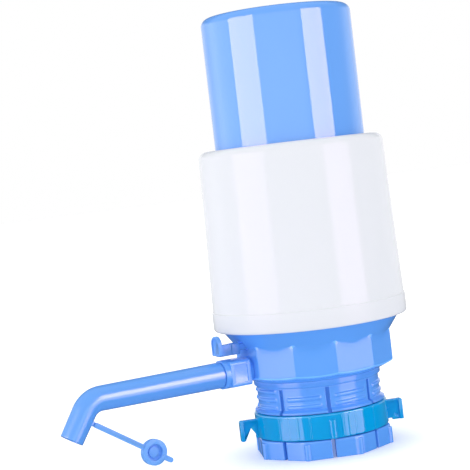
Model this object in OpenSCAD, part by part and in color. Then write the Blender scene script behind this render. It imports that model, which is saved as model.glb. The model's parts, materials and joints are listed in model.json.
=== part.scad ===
// Manual press pump for a large refillable water bottle.
// Millimetres. The origin is the centre of the clamp feet's underside, +Z is up,
// and the spout points along -X. Each sub-part is one module and one node.

/* [Clamp collar] */
// Radius of the bore that grips the bottle's crown
grip_r = 28; // [27.5:0.1:28.4]
// Height of the gripping bore
grip_len = 30; // [29:0.5:31]
// Wider bore above it, under the gasket: its height
relief_len = 4.5; // [4:0.5:5]
// Wall of the fingers at the root of the thread
finger_wall = 1.8; // [1.5:0.1:2]
// Height of the feet
foot_h = 8.9; // [8:0.1:9.5]
// How far the flats of the feet stand out of the fingers
foot_out = 1.8; // [1.4:0.1:2.2]
// How far the corners of the feet stand out of the fingers
foot_corner_out = 3.4; // [3:0.1:3.8]
// How far the ribs stand out of the corners of the feet
foot_rib_out = 1.2; // [0.8:0.1:1.5]
// Width of the slots between the fingers
slot_w = 1.8; // [1.4:0.1:2.4]
// Number of fingers
finger_n = 8; // [8]
// Pitch of the thread outside the fingers
thread_pitch = 3.9; // [3.6:0.1:4.2]
// Height of the thread's crest above its root
thread_out = 0.7; // [0.4:0.1:1]
// Thickness of the spoked web that carries the gasket
web_t = 1.9; // [1.5:0.1:2]

/* [Lock ring] */
// Height of the ring
ring_h = 12; // [11:0.5:13]
// Wall of the ring
ring_wall = 2.4; // [2:0.1:2.6]
// How far the wings reach past the ring
wing_out = 8.5; // [7:0.5:10]
// Direction of the wing beside the spout, in degrees from +X
wing_at = 161.5; // [150:0.5:170]
// Play between the ring and the fingers
ring_play = 0.3; // [0.3:0.05:0.5]

/* [Base] */
// Height of the chamber under the deck
chamber_h = 15; // [15:0.5:17]
// How far the chamber reaches past the fingers
chamber_out = 4.7; // [4:0.1:5.2]
// Thickness of the deck
deck_t = 2; // [2:0.1:2.4]
// Height of the space between the deck and the bellows' floor
cavity_h = 7; // [7:0.5:9]
// Wall of the faceted collar round the chamber
collar_wall = 2.8; // [2.5:0.1:3.1]
// Rounding of the collar's lower edge
facet_round = 2; // [1:0.1:2.4]
// Slope of the funnel from the vertical
flare_a = 35.75; // [34:0.25:37]
// Radius that blends the funnel into the collar
flare_blend = 8; // [6:0.5:9]

/* [Sleeve] */
// How much wider than the chamber the sleeve is inside, in radius
sleeve_room = 8.5; // [8.1:0.1:8.8]
// Wall of the sleeve above its band
sleeve_wall = 3.8; // [3.4:0.1:4]
// How much narrower the sleeve's radius is at its shoulder
sleeve_taper = 1.7; // [0.8:0.1:1.9]
// How far the band at the sleeve's foot stands out
band_out = 0.5; // [0.2:0.1:1.2]
// Height of the band
band_h = 9.3; // [8:0.1:11]
// Height of the sleeve
sleeve_h = 87.5; // [80:0.1:92]
// Radius of the shoulder
shoulder = 6.5; // [5:0.5:7]
// Thickness of the lip that holds the cap in
lip_t = 4; // [3:0.5:5]

/* [Press cap] */
// Gap between the cap's side and the inside of the sleeve
cap_gap = 6.5; // [5.8:0.1:7]
// Wall of the cap
cap_wall = 2.2; // [1.8:0.1:2.3]
// Thickness of the cap's roof
cap_roof = 2.5; // [2:0.1:3.5]
// Radius of the cap's upper edge
cap_edge = 4; // [3.5:0.5:6]
// How far the cap stands out of the sleeve
cap_out = 63.8; // [60:0.1:75]
// Height of the cap inside the sleeve
cap_skirt = 21; // [16:0.5:21]
// Play between the cap and the lip round it
cap_play = 0.6; // [0.4:0.1:1]

/* [Bellows] */
// Number of folds
fold_n = 12; // [9:1:13]
// Play between the folds and the cap's wall
fold_play = 2.9; // [2.6:0.1:4.4]
// Depth of the folds
fold_depth = 5.5; // [5:0.1:6.5]
// Wall of the bellows
bellows_wall = 0.9; // [0.7:0.1:1]
// Thickness of the bellows' lips
lip_rubber_t = 1.5; // [1.2:0.1:1.8]

/* [Spout] */
// Height of the spout's axis above the underside of the base
spout_rise = 7.3; // [7.1:0.1:7.4]
// Outside radius of the spout at its root
spout_root_r = 6.2; // [6:0.1:6.4]
// Outside radius of the spout at its bend
spout_bend_r = 5.8; // [5.6:0.1:6]
// Outside radius of the nozzle's tip
nozzle_tip_r = 5.45; // [5.2:0.05:5.6]
// Bore of the spout
spout_bore_r = 3.4; // [3:0.1:3.6]
// Wider bore at the nozzle's end, for the plug or a hose
outlet_r = 4; // [3.8:0.05:4.2]
// Depth of that wider bore
outlet_len = 12; // [11:0.5:12.5]
// Length of the straight run from the socket to the bend
spout_run = 61.7; // [50:0.1:70]
// Radius of the bend's centre line
bend_r = 10.5; // [9:0.5:14]
// Angle that the spout turns through
bend_a = 56.8; // [50:0.1:65]
// Length of the straight nozzle
nozzle_len = 14.1; // [13:0.1:18]
// Bore of the water channel
channel_r = 3; // [2.6:0.1:3]
// Bore of the dip tube's socket
dip_r = 4.1; // [3.8:0.1:4.3]
// Depth of the dip tube's socket
dip_depth = 10; // [9:0.5:10]

/* [Plug on its strap] */
// Distance of the strap from the nozzle's tip
strap_up = 10.9; // [9:0.1:11.5]
// Length from the nozzle's wall to the middle of the plug
strap_len = 34.4; // [30:0.1:38]
// Width of the strap
strap_w = 2.4; // [2:0.1:3]
// Thickness of the strap
strap_t = 1.8; // [1.4:0.1:2.2]
// Radius of the plug's flange
plug_r = 6.1; // [5.8:0.1:6.6]

/* [Release lever] */
// Height of the lever's bar
bar_h = 5.2; // [4.6:0.1:5.4]
// Width of the lever's bar
bar_w = 5; // [4.4:0.1:5.4]
// Distance of the lever's pad from the collar's flats
pad_out = 16.2; // [15:0.1:17.5]
// Width of the lever's pad
pad_w = 8; // [7:0.1:9]
// Height of the lever's pad
pad_h = 9.3; // [8.5:0.1:10]

/* [Screws] */
// Radius of the screws' shanks
screw_r = 1.5; // [1.2:0.1:1.6]
// Radius of the screws' heads
screw_head_r = 2.5; // [2.3:0.1:2.6]

/* [Hidden] */
$fn = 72;
eps = 0.01;
over = 1;                   // how far a cutter runs past the face that it cuts
seat_play = 0.05;           // radial play of pieces that are pushed into each other
face_play = 0.3;            // gap between faces that move past each other
pin_play = 0.03;            // radial play of a turning fit

blue = "cornflowerblue";
clear_blue = "deepskyblue";
rubber = "gainsboro";

// Heights, from the feet upwards.
gasket_t = 2.5;
web_z = grip_len + relief_len + gasket_t;
base_z = web_z;
spout_z = base_z + spout_rise;
deck_z = base_z + chamber_h;
deck_top = deck_z + deck_t;
ledge_z = deck_top + cavity_h;
ledge_gap = 1.7;
sleeve_z = ledge_z + ledge_gap;
band_top = sleeve_z + band_h;
sleeve_top = sleeve_z + sleeve_h;
cap_top = sleeve_top + cap_out;
cap_low = sleeve_top - cap_skirt;

// Radii that follow the grip, from the inside outwards.
finger_r = grip_r + finger_wall;
foot_flat = finger_r + foot_out;
foot_corner_r = finger_r + foot_corner_out;
ring_out_r = finger_r + ring_play + ring_wall;
wing_tip_r = ring_out_r + wing_out;
chamber_r = finger_r + chamber_out;
facet_flat = chamber_r + collar_wall;
sleeve_in_r = chamber_r + sleeve_room;
cap_r = sleeve_in_r - cap_gap;
sleeve_low_r = sleeve_in_r + sleeve_wall;
sleeve_top_r = sleeve_low_r - sleeve_taper;
band_r = sleeve_low_r + band_out;

// Clamp collar.
relief_out = 0.5;
relief_r = grip_r + relief_out;
ring_z = foot_h + face_play;
bead_z = ring_z + ring_h + face_play;
bead_h = 1.1;
bead_out = 2;
bead_r = finger_r + bead_out;
neck_lip_out = 1.2;
neck_lip_r = finger_r + neck_lip_out;
neck_lip_h = 2.7;
neck_plug_out = 0.2;
neck_plug_r = finger_r + neck_plug_out;
neck_plug_h = 2.3;
slot_stop = 3.5;            // from the end of a slot to the web
slot_top = web_z - slot_stop;
web_ledge = 0.6;            // holds the web's edge from above
gasket_w = 9;
gasket_in_r = relief_r - gasket_w;
hub_wall = 2.6;
spoke_n = 4;
spoke_w = 4;
spoke_turn = 45;
thread_from = 24.4;         // height of a crest on the spout's side
thread_half_a = 16;         // half of the angle that a panel of thread covers
thread_foot_w = 2.6;
thread_crest_w = 0.8;

// Water elbow.
barrel_wall = 2.1;
barrel_r = dip_r + barrel_wall;
arm_wall = 1.2;
arm_r = channel_r + arm_wall;
barrel_top = spout_z + arm_r;
barrel_rise = 0.6;
barrel_z = grip_len + barrel_rise;
barrel_flange_out = 1.4;
barrel_flange_r = barrel_r + barrel_flange_out;
barrel_flange_t = 1;

// Base.
facet_n = 12;
facet_r = facet_flat / cos(180 / facet_n);
funnel_inset = 0.4;
funnel_r = facet_flat - funnel_inset;   // stays inside the flats
under_r = neck_lip_r + 0.1;
under_slope = 23.7;         // rise of the collar's underside, in degrees
mouth_out = 1.4;
mouth_rise = 1.3;
funnel_mouth_r = sleeve_in_r + mouth_out;
funnel_mouth_z = sleeve_z + mouth_rise;
floor_t = 2.5;
spigot_lap = 0.8;
spigot_in_r = sleeve_in_r - spigot_lap;
plate_seat_w = 4.3;
plate_seat_r = chamber_r + plate_seat_w;
tower_in_r = 6;
tower_wall = 1.8;
tower_r = tower_in_r + tower_wall;
valve_r = 5.5;
valve_stem_r = 1.25;
deck_hole_r = 1.1;
deck_hole_at = 3.7;
screw_out = 0.7;
screw_at = chamber_r + screw_out;
screw_turn = 45;
post_wall = 1.3;
post_r = screw_r + post_wall;
post_h = 5.5;
post_floor = 1;             // closed end of a screw's hole
screw_gap = 0.3;            // from a screw's tip to the end of its hole

// Lever and vent.
pivot_in = 2.5;             // from the chamber's wall to the pin
pivot_at = chamber_r - pivot_in;
pivot_rise = 2.2;
pivot_z = deck_top + pivot_rise;
pivot_r = 1;
hub_r = 2;
arm_half = 1.5;
arm_inset = 1;
arm_w = bar_w - arm_inset;
bar_gap = 4.5;
bar_in = facet_flat + bar_gap;
bar_wide_len = 4.2;
bar_step = bar_in + bar_wide_len;
bar_drop = 3.2;
bar_z = pivot_z - bar_drop;
pad_at = facet_flat + pad_out;
pad_t = 1.65;
pad_rim = 0.9;
pad_dish = 0.45;
ear_t = 2;
ear_gap = bar_w / 2 + 0.2;
finger_len = 7.5;           // from the pin to the vent's stem
vent_at = pivot_at - finger_len;
stem_r = 1;
vent_hole_r = 1.5;
vent_head_r = 2.7;
vent_head_t = 1;
seal_t = 1.1;
pocket_r = 3;
pocket_z = deck_top - 1;
finger_z = deck_top + 2.5;  // underside of the lever's inner finger
stem_top = finger_z - 0.2;
retainer_r = 2.2;
retainer_t = 0.7;
retainer_z = stem_top - 1;

// Bellows and its clamps.
plate_t = 2.2;
clamp_t = 2;
head_t = 2;
head_round = 0.8;
drive_half = 1.6;           // half length of the cross in a screw's head
drive_w = 0.7;
drive_depth = 0.9;
plate_z = ledge_z;
low_lip_z = plate_z + plate_t;
low_ring_z = low_lip_z + lip_rubber_t;
boss_h = 3;
boss_z = cap_top - cap_roof - boss_h;
top_plate_z = boss_z - plate_t;
top_lip_z = top_plate_z - lip_rubber_t;
top_ring_z = top_lip_z - clamp_t;
cap_in_r = cap_r - cap_wall;
fold_out_r = cap_in_r - fold_play - bellows_wall;
fold_in_r = fold_out_r - fold_depth;
top_plate_r = cap_in_r - 0.7;
cap_screw_at = cap_in_r - 3.1;
cap_post_r = screw_r + 1.4;
fold_pitch = (top_ring_z - low_ring_z - clamp_t) / fold_n;
lip_in_r = fold_in_r - 1;
spring_r = 17;
spring_wire_r = 1.1;
spring_turns = 9;
spring_seat_gap = 2.3;
spring_seat_r = spring_r - spring_wire_r - spring_seat_gap;
spring_seat_h = 3;

// Cap flange, held in by the sleeve's lip.
flange_t = 3;
flange_play = 1.2;
flange_r = sleeve_in_r - flange_play;
flange_z = sleeve_top - lip_t - face_play - flange_t;

// Spout and its socket.
socket_in = facet_flat;
socket_neck_r = 6.2;
socket_neck_len = 2.2;
block_in = socket_in + socket_neck_len;
block_len = 10.5;
block_out = block_in + block_len;
block_half_w = 7;
block_half_h = 6.1;
block_round = 1.2;
rim_r = 6.9;
rim_chamfer = 0.6;
rim_lap = 3;                // how far the rim reaches into the block
rim_len = 2.5;
rim_out = block_out + rim_len;
panel_depth = 0.5;
panel_edge = 1.9;
panel_round = 0.6;
panel_shift = 0.5;
socket_bore_r = 5.25;
socket_floor = 1;
socket_bore_in = block_in + socket_floor;
spigot_r = socket_bore_r - seat_play;
spigot_gap = 0.5;
spout_in = socket_bore_in + spigot_gap;
spout_face = rim_out + face_play;
bend_at = spout_face + spout_run;
bend_lap = 0.6;             // the straight runs reach this far into the bend
bend_step = 0.08;           // and are this much smaller there, inside its wall
snap_in = 2.6;
snap_at = socket_bore_in + snap_in;
snap_w = 1;
snap_out = 0.3;
snap_play = 0.4;
oring_in = 5;
oring_at = rim_out - oring_in;
oring_r = 0.45;
oring_groove_r = 4.3;
oring_groove_w = 1.4;

// Plug.
nozzle_wall = nozzle_tip_r + (spout_bend_r - nozzle_tip_r) * strap_up / nozzle_len;
lug_out = 0.9;
strap_root = nozzle_wall + lug_out + face_play + strap_w / 2;
plug_at = nozzle_wall + strap_len;
plug_t = 3;
plug_boss_r = outlet_r - seat_play;
plug_boss_h = 4;
plug_recess_r = 3.9;
plug_recess_h = 2;
tab_past = 4.4;

// ---- Shapes that several sub-parts share ----

// Copies of the children, evenly round the axis.
module around(n, from = 0) {
    for (i = [0:n - 1]) rotate([0, 0, from + i * 360 / n]) children();
}

// A flat ring from height z.
module washer(r_out, r_in, z, h) {
    translate([0, 0, z]) difference() {
        cylinder(r = r_out, h = h);
        translate([0, 0, -over]) cylinder(r = r_in, h = h + 2 * over);
    }
}

// A rod along -X, between two distances from the axis, at the spout's height.
module rod_x(r, from, to, r_end = undef) {
    translate([-from, 0, spout_z]) rotate([0, -90, 0])
        cylinder(r1 = r, r2 = is_undef(r_end) ? r : r_end, h = to - from);
}

// The sliver between a corner c and an arc that touches both of its edges.
// The edges leave the corner at the angles a1 and a2. It is cut or added.
module corner_sliver(c, a1, a2, r) {
    half = (a2 - a1) / 2;
    reach = r / tan(half);
    middle = [cos(a1 + half), sin(a1 + half)];
    difference() {
        polygon([c - 0.2 * middle, c + reach * [cos(a1), sin(a1)],
            c + reach * [cos(a2), sin(a2)]]);
        translate(c + r / sin(half) * middle) circle(r);
    }
}

// A rectangle with round corners, centred.
module round_rect(w, h, r) {
    square([w - 2 * r, h], center = true);
    square([w, h - 2 * r], center = true);
    for (x = [-1, 1], y = [-1, 1])
        translate([x * (w / 2 - r), y * (h / 2 - r)]) circle(r);
}

// Centre points of a coil.
function coil_points(r, z0, z1, turns, per_turn) =
    [for (i = [0:turns * per_turn]) let (a = 360 * i / per_turn)
        [r * cos(a), r * sin(a), z0 + (z1 - z0) * i / (turns * per_turn)]];

// Least gap between points of a coil that are half a turn or more apart.
function coil_gap(p, wire_r, per_turn) = min([for (i = [0:len(p) - 1],
    j = [i + per_turn / 2:1:min(len(p) - 1, i + 2 * per_turn)]) norm(p[i] - p[j])]) - 2 * wire_r;

// One unbroken wire, wound with per_turn rings of `sides` points in each turn.
module coil(r, wire_r, z0, z1, turns, per_turn = 8, sides = 6) {
    p = coil_points(r, z0 + wire_r, z1 - wire_r, turns, per_turn);
    rise = atan((z1 - z0 - 2 * wire_r) / turns / (2 * PI * r));
    n = len(p);
    points = [for (i = [0:n - 1], k = [0:sides - 1])
        let (a = 360 * i / per_turn, b = 360 * k / sides)
        p[i] + wire_r * (cos(b) * [cos(a), sin(a), 0]
            + sin(b) * [sin(a) * sin(rise), -cos(a) * sin(rise), cos(rise)])];
    walls = [for (i = [0:n - 2], k = [0:sides - 1])
        let (m = (k + 1) % sides, u = i * sides, v = (i + 1) * sides)
        each [[u + k, u + m, v + k], [u + m, v + m, v + k]]];
    ends = [for (k = [1:sides - 2])
        each [[0, k + 1, k], [(n - 1) * sides, (n - 1) * sides + k, (n - 1) * sides + k + 1]]];
    echo(coil_r = r, least_gap = coil_gap(p, wire_r, per_turn));
    polyhedron(points, concat(walls, ends));
}

// An umbrella valve that hangs under a plate: z is the plate's underside, t its thickness.
module umbrella_valve(r, z, t) {
    stem = valve_stem_r;
    crown = 1.5;
    crown_r = 1.6;
    edge = 0.6;
    bulb = 1.8;
    bulb_h = 1.3;
    rotate_extrude() polygon([[0, z - crown], [crown_r, z - crown], [r - edge, z - edge],
        [r, z], [stem, z], [stem, z + t], [bulb, z + t], [bulb, z + t + edge],
        [stem * 0.7, z + t + bulb_h], [0, z + t + bulb_h]]);
}

// Screws with pan heads: z is the head's seat, and the shank runs up or down.
module screw(z, len, up) {
    mirror([0, 0, up ? 1 : 0]) translate([0, 0, up ? -z : z]) difference() {
        union() {
            rotate_extrude() difference() {
                square([screw_head_r, head_t]);
                corner_sliver([screw_head_r, head_t], 180, 270, head_round);
            }
            translate([0, 0, -len]) cylinder(r = screw_r, h = len + eps);
        }
        for (a = [0, 90]) rotate([0, 0, a])
            translate([-drive_half, -drive_w / 2, head_t - drive_depth])
                cube([2 * drive_half, drive_w, drive_depth + over]);
    }
}

// ---- Clamp collar, ring and gasket ----

// One ridge of thread across a finger, centred on +X.
module thread_ridge(z) {
    root = finger_r - 0.3;
    crest = finger_r + thread_out;
    flank = (thread_foot_w - thread_crest_w) / 2 / thread_out;
    root_w = thread_foot_w + 2 * flank * (finger_r - root);
    translate([0, 0, z]) rotate([atan(thread_pitch / (2 * PI * finger_r)), 0, 0])
        rotate([0, 0, -thread_half_a]) rotate_extrude(angle = 2 * thread_half_a)
            polygon([[root, -root_w / 2], [crest, -thread_crest_w / 2],
                [crest, thread_crest_w / 2], [root, root_w / 2]]);
}

module foot_blank() {
    intersection() {
        cylinder(r = foot_flat / cos(180 / finger_n), h = foot_h, $fn = finger_n);
        rotate_extrude() difference() {
            square([foot_corner_r, foot_h]);
            corner_sliver([foot_corner_r, foot_h], 180, 270, 0.9);
        }
    }
    around(finger_n) translate([foot_corner_r - 0.3, 0, 0])
        cylinder(r = foot_rib_out + 0.3, h = foot_h - 1.2);
}

module clamp_collar() color(blue) {
    thread_low = bead_z + bead_h + thread_foot_w / 2;
    thread_high = slot_top - thread_foot_w / 2;
    difference() {
        union() {
            foot_blank();
            cylinder(r = finger_r, h = web_z);
            rotate_extrude() polygon([[finger_r - 0.5, bead_z], [bead_r, bead_z],
                [bead_r, bead_z + bead_h / 2], [finger_r - 0.5, bead_z + 2 * bead_h]]);
            translate([0, 0, web_z - neck_lip_h]) rotate_extrude() difference() {
                square([neck_lip_r, neck_lip_h]);
                corner_sliver([neck_lip_r, 0], 90, 180, 0.8);
            }
            translate([0, 0, web_z - eps]) cylinder(r = neck_plug_r, h = neck_plug_h + eps);
            for (k = [0:finger_n - 1], turn = [-1:3])
                let (z = thread_from + thread_pitch * (turn + k / finger_n))
                if (z > thread_low && z < thread_high)
                    rotate([0, 0, 180 + k * 360 / finger_n]) thread_ridge(z);
        }
        translate([0, 0, -over]) cylinder(r = grip_r, h = grip_len + over);
        translate([0, 0, grip_len]) cylinder(r = relief_r, h = web_z + web_t - grip_len);
        translate([0, 0, web_z]) cylinder(r = relief_r - web_ledge, h = neck_plug_h + over);
        around(finger_n, 180 / finger_n) translate([grip_r - 1, -slot_w / 2, -over])
            cube([foot_corner_r, slot_w, slot_top + over]);
    }
}

// A wing of the lock ring, along +X. The notched one has a cut in its lower edge.
module ring_wing(notched) {
    low = ring_z - 0.9;
    high = ring_z + 9.3;
    inner = ring_out_r - ring_wall / 2;
    clear_r = foot_corner_r + foot_rib_out + 1.2;
    rim_w = 1.8;
    difference() {
        union() {
            translate([inner, -0.8, ring_z]) cube([wing_tip_r - inner, 1.6, high - ring_z]);
            translate([clear_r, -0.8, low]) cube([wing_tip_r - clear_r, 1.6, high - low]);
            translate([inner, -1.4, high - 1.2]) cube([wing_tip_r - inner, 2.8, 1.2]);
            translate([wing_tip_r - rim_w, -1.8, low]) cube([rim_w, 3.6, high - low]);
        }
        translate([wing_tip_r, 0, high]) rotate([90, 0, 0])
            linear_extrude(6, center = true) corner_sliver([0, 0], 180, 270, 2);
        if (notched) translate([0, 0, low]) rotate([90, 0, 0]) linear_extrude(6, center = true)
            polygon([[wing_tip_r - rim_w - 0.4, -over], [wing_tip_r - rim_w - 0.4, 0],
                [clear_r, 6], [clear_r - 2.2, 2.9], [clear_r - 2.2, -over]]);
    }
}

module lock_ring() color(clear_blue, 0.7) {
    in_r = ring_out_r - ring_wall;
    out_r = ring_out_r;
    wing_turns = [wing_at, wing_at + 180];
    line_turns = [199.5, 210.4, 218.3, 229.5, 256.5, 263, 268.9, 277.1, 289.6];
    difference() {
        union() {
            translate([0, 0, ring_z]) rotate_extrude() difference() {
                square([out_r, ring_h]);
                corner_sliver([out_r, ring_h], 180, 270, 0.8);
                corner_sliver([out_r, 0], 90, 180, 0.6);
            }
            for (a = [248.4, 68.4]) rotate([0, 0, a]) translate([out_r - 0.5, 0, ring_z - 0.1])
                cylinder(r = 1.6, h = ring_h - 2.7);
            for (a = line_turns, half = [0, 180]) rotate([0, 0, a + half])
                translate([out_r - 0.5, -0.35, ring_z + 0.8]) cube([0.85, 0.7, ring_h - 1.8]);
            rotate([0, 0, wing_turns[0]]) ring_wing(true);
            rotate([0, 0, wing_turns[1]]) ring_wing(false);
        }
        translate([0, 0, ring_z - over]) cylinder(r = in_r, h = ring_h + 2 * over);
    }
}

// A wheel in the collar's neck: a ring over the gasket, and spokes to the elbow's barrel.
module neck_web() color("white") {
    hub_out_r = barrel_r + hub_wall;
    washer(relief_r - seat_play, gasket_in_r, web_z, web_t);
    washer(hub_out_r, barrel_r + seat_play, web_z, web_t);
    around(spoke_n, spoke_turn) translate([hub_out_r - 0.5, -spoke_w / 2, web_z])
        cube([gasket_in_r - hub_out_r + 1, spoke_w, web_t]);
}

module neck_gasket() color(rubber) {
    washer(relief_r - seat_play, gasket_in_r, web_z - gasket_t, gasket_t);
}

// ---- Water elbow ----

module water_elbow() color("white") {
    difference() {
        union() {
            translate([0, 0, barrel_z]) cylinder(r = barrel_r, h = barrel_top - barrel_z);
            translate([0, 0, web_z + web_t])
                cylinder(r = barrel_flange_r, h = barrel_flange_t);
            rod_x(arm_r, 0, facet_flat - seat_play);
        }
        translate([0, 0, barrel_z - over]) cylinder(r = dip_r, h = dip_depth + over);
        translate([0, 0, barrel_z]) cylinder(r = channel_r, h = spout_z - barrel_z);
        translate([0, 0, spout_z]) sphere(r = channel_r);
        rod_x(channel_r, 0, facet_flat + over);
    }
}

// ---- Base ----

// Outline of the funnel and the spigot that carries the sleeve.
module funnel_outline() {
    slope_z = funnel_mouth_z - (funnel_mouth_r - funnel_r) / tan(flare_a);
    polygon([[0, base_z], [under_r, base_z],
        [funnel_r - 1, base_z + (funnel_r - 1 - under_r) * tan(under_slope)],
        [funnel_r, base_z + 6], [funnel_r, slope_z], [funnel_mouth_r, funnel_mouth_z],
        [funnel_mouth_r, band_top], [0, band_top]]);
    corner_sliver([funnel_r, slope_z], -90, 90 - flare_a, flare_blend);
}

// The collar with its flats, rounded along its lower edge.
module faceted_collar() {
    turned_r = facet_r + 0.3;
    corner_z = base_z + (turned_r - under_r) * tan(under_slope);
    top = deck_top + 2.5;
    intersection() {
        translate([0, 0, base_z - over]) rotate([0, 0, 180 / facet_n])
            cylinder(r = facet_r, h = top - base_z + over, $fn = facet_n);
        rotate_extrude() difference() {
            polygon([[0, base_z], [under_r, base_z], [turned_r, corner_z],
                [turned_r, top + over], [0, top + over]]);
            corner_sliver([turned_r, corner_z], 90, 180 + under_slope, facet_round);
        }
    }
}

// Two ears over the deck that carry the lever's pin.
module lever_ears() {
    for (side = [-1, 1]) translate([-pivot_at - 2.6, side * (ear_gap + ear_t / 2) - ear_t / 2, deck_z + 1])
        cube([5, ear_t, pivot_z + 2.4 - deck_z - 1]);
}

// The ring that closes the chamber's underside round the clamp's neck.
module base_floor() color(blue) {
    out_r = chamber_r - seat_play;
    rotate_extrude() polygon([[neck_plug_r + seat_play, base_z], [under_r, base_z],
        [out_r, base_z + (out_r - under_r) * tan(under_slope)], [out_r, base_z + floor_t],
        [neck_plug_r + seat_play, base_z + floor_t]]);
}

module base_body() color(blue) {
    difference() {
        union() {
            difference() {
                union() {
                    rotate_extrude() funnel_outline();
                    faceted_collar();
                }
                translate([0, 0, base_z - over]) cylinder(r = chamber_r, h = chamber_h + over);
                translate([0, 0, deck_top]) cylinder(r = chamber_r, h = cavity_h + over);
                translate([0, 0, ledge_z]) cylinder(r = plate_seat_r, h = 4.2);
                translate([0, 0, ledge_z + 3.2]) cylinder(r = spigot_in_r, h = band_top);
            }
            washer(tower_r, tower_in_r, deck_top - eps, cavity_h + eps);
            around(4, screw_turn) translate([screw_at, 0, ledge_z - post_h])
                cylinder(r = post_r, h = post_h);
            lever_ears();
        }
        // water channel, lever window, screws
        rod_x(arm_r + seat_play, chamber_r - over, facet_flat + over);
        translate([-bar_in - 4, -arm_w / 2 - 0.4, pivot_z - arm_half - 0.4])
            cube([bar_in + 4 - chamber_r + over, arm_w + 0.8, 2 * arm_half + 1.3]);
        around(4, screw_turn) translate([screw_at, 0, ledge_z - post_h + post_floor])
            cylinder(r = screw_r + seat_play, h = post_h);
        // outlet valve's stem and air holes
        translate([0, 0, deck_z - over])
            cylinder(r = valve_stem_r + seat_play, h = deck_t + 2 * over);
        around(6) translate([deck_hole_at, 0, deck_z - over])
            cylinder(r = deck_hole_r, h = deck_t + 2 * over);
        // vent and the lever's pin
        translate([-vent_at, 0, deck_z - over]) cylinder(r = vent_hole_r, h = deck_t + 2 * over);
        translate([-vent_at, 0, pocket_z]) cylinder(r = pocket_r, h = deck_t);
        translate([-pivot_at, 0, pivot_z]) rotate([90, 0, 0])
            cylinder(r = pivot_r + 0.01, h = 20, center = true);
    }
}

module outlet_valve() color(rubber) umbrella_valve(valve_r, deck_z, deck_t);

// ---- Release lever and vent ----

module release_lever() color("lightskyblue") {
    difference() {
        union() {
            translate([-pivot_at, 0, pivot_z]) rotate([90, 0, 0])
                cylinder(r = hub_r, h = bar_w, center = true);
            translate([-bar_in - 0.5, -arm_w / 2, pivot_z - arm_half])
                cube([bar_in + 0.5 - pivot_at, arm_w, 2 * arm_half]);
            translate([-pivot_at, -arm_w / 2, finger_z])
                cube([pivot_at - vent_at + 2.4, arm_w, 2.2]);
            // outer bar, narrower past its step
            translate([-bar_step, -bar_w / 2, bar_z]) cube([bar_step - bar_in, bar_w, bar_h]);
            translate([-pad_at + pad_t / 2, -arm_w / 2, bar_z])
                cube([pad_at - pad_t / 2 - bar_step + over, arm_w, bar_h]);
            lever_pad();
        }
        translate([-pivot_at, 0, pivot_z]) rotate([90, 0, 0])
            cylinder(r = pivot_r + pin_play, h = 20, center = true);
    }
}

// The pad at the lever's end: straight below, round above, dished on its outer face.
module lever_pad() {
    translate([-pad_at, 0, bar_z + 0.5]) rotate([90, 0, 90]) difference() {
        linear_extrude(pad_t) pad_outline(0);
        translate([0, 0, -over]) linear_extrude(over + pad_dish) pad_outline(pad_rim);
    }
}

module pad_outline(inset) {
    r = pad_w / 2 - inset;
    translate([0, pad_h - pad_w / 2]) circle(r);
    translate([-r, inset]) square([2 * r, pad_h - pad_w / 2 - inset]);
}

module lever_pin() color("silver") {
    half = ear_gap + ear_t;
    translate([-pivot_at, half, pivot_z]) rotate([90, 0, 0]) {
        cylinder(r = pivot_r, h = 2 * half);
        translate([0, 0, -0.8]) cylinder(r = 1.7, h = 0.8);
    }
}

module vent_valve() color("white") translate([-vent_at, 0, 0]) {
    head_z = deck_z - seal_t - vent_head_t;
    translate([0, 0, head_z]) cylinder(r = vent_head_r, h = vent_head_t);
    translate([0, 0, head_z]) cylinder(r = stem_r, h = stem_top - head_z);
}

module vent_seal() color(rubber) translate([-vent_at, 0, 0])
    washer(vent_head_r, stem_r + 0.01, deck_z - seal_t, seal_t);

module vent_retainer() color("white") translate([-vent_at, 0, 0])
    washer(retainer_r, stem_r + 0.01, retainer_z, retainer_t);

module vent_spring() color("silver") translate([-vent_at, 0, 0])
    coil(1.75, 0.17, pocket_z, retainer_z, 3);

// ---- Bellows and return spring ----

// Half section of the folds, from the lower lip to the upper one.
function fold_edge(shift) = [for (i = [0:2 * fold_n])
    [(i % 2 == 0 ? fold_in_r : fold_out_r) + shift, low_ring_z + clamp_t + i * fold_pitch / 2]];
function turned(list) = [for (i = [len(list) - 1:-1:0]) list[i]];

module bellows() color("lightgray") {
    difference() {
        union() {
            rotate_extrude() polygon(concat(
                [[lip_in_r, low_lip_z], [plate_seat_r - 0.6, low_lip_z],
                    [plate_seat_r - 0.6, low_ring_z], [fold_in_r + bellows_wall, low_ring_z]],
                fold_edge(bellows_wall),
                [[fold_in_r + bellows_wall, top_lip_z], [top_plate_r - 0.2, top_lip_z],
                    [top_plate_r - 0.2, top_plate_z], [lip_in_r, top_plate_z]],
                [[lip_in_r, top_lip_z], [fold_in_r, top_lip_z]],
                turned(fold_edge(0)),
                [[fold_in_r, low_ring_z], [lip_in_r, low_ring_z]]));
        }
        around(4, screw_turn) translate([screw_at, 0, low_lip_z - over])
            cylinder(r = screw_r + seat_play, h = lip_rubber_t + 2 * over);
        around(4) translate([cap_screw_at, 0, top_lip_z - over])
            cylinder(r = screw_r + seat_play, h = lip_rubber_t + 2 * over);
    }
}

module bellows_base_plate() color("white") {
    difference() {
        union() {
            washer(plate_seat_r - 0.3, tower_in_r, plate_z, plate_t);
            washer(spring_seat_r, spring_seat_r - 1.6, plate_z + plate_t - eps, spring_seat_h);
        }
        around(4, screw_turn) translate([screw_at, 0, plate_z - over])
            cylinder(r = screw_r + seat_play, h = plate_t + 2 * over);
    }
}

module bellows_base_ring() color("white") {
    difference() {
        washer(plate_seat_r - 0.5, fold_in_r + bellows_wall + 0.3, low_ring_z, clamp_t);
        around(4, screw_turn) translate([screw_at, 0, low_ring_z - over])
            cylinder(r = screw_r + seat_play, h = clamp_t + 2 * over);
    }
}

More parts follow.
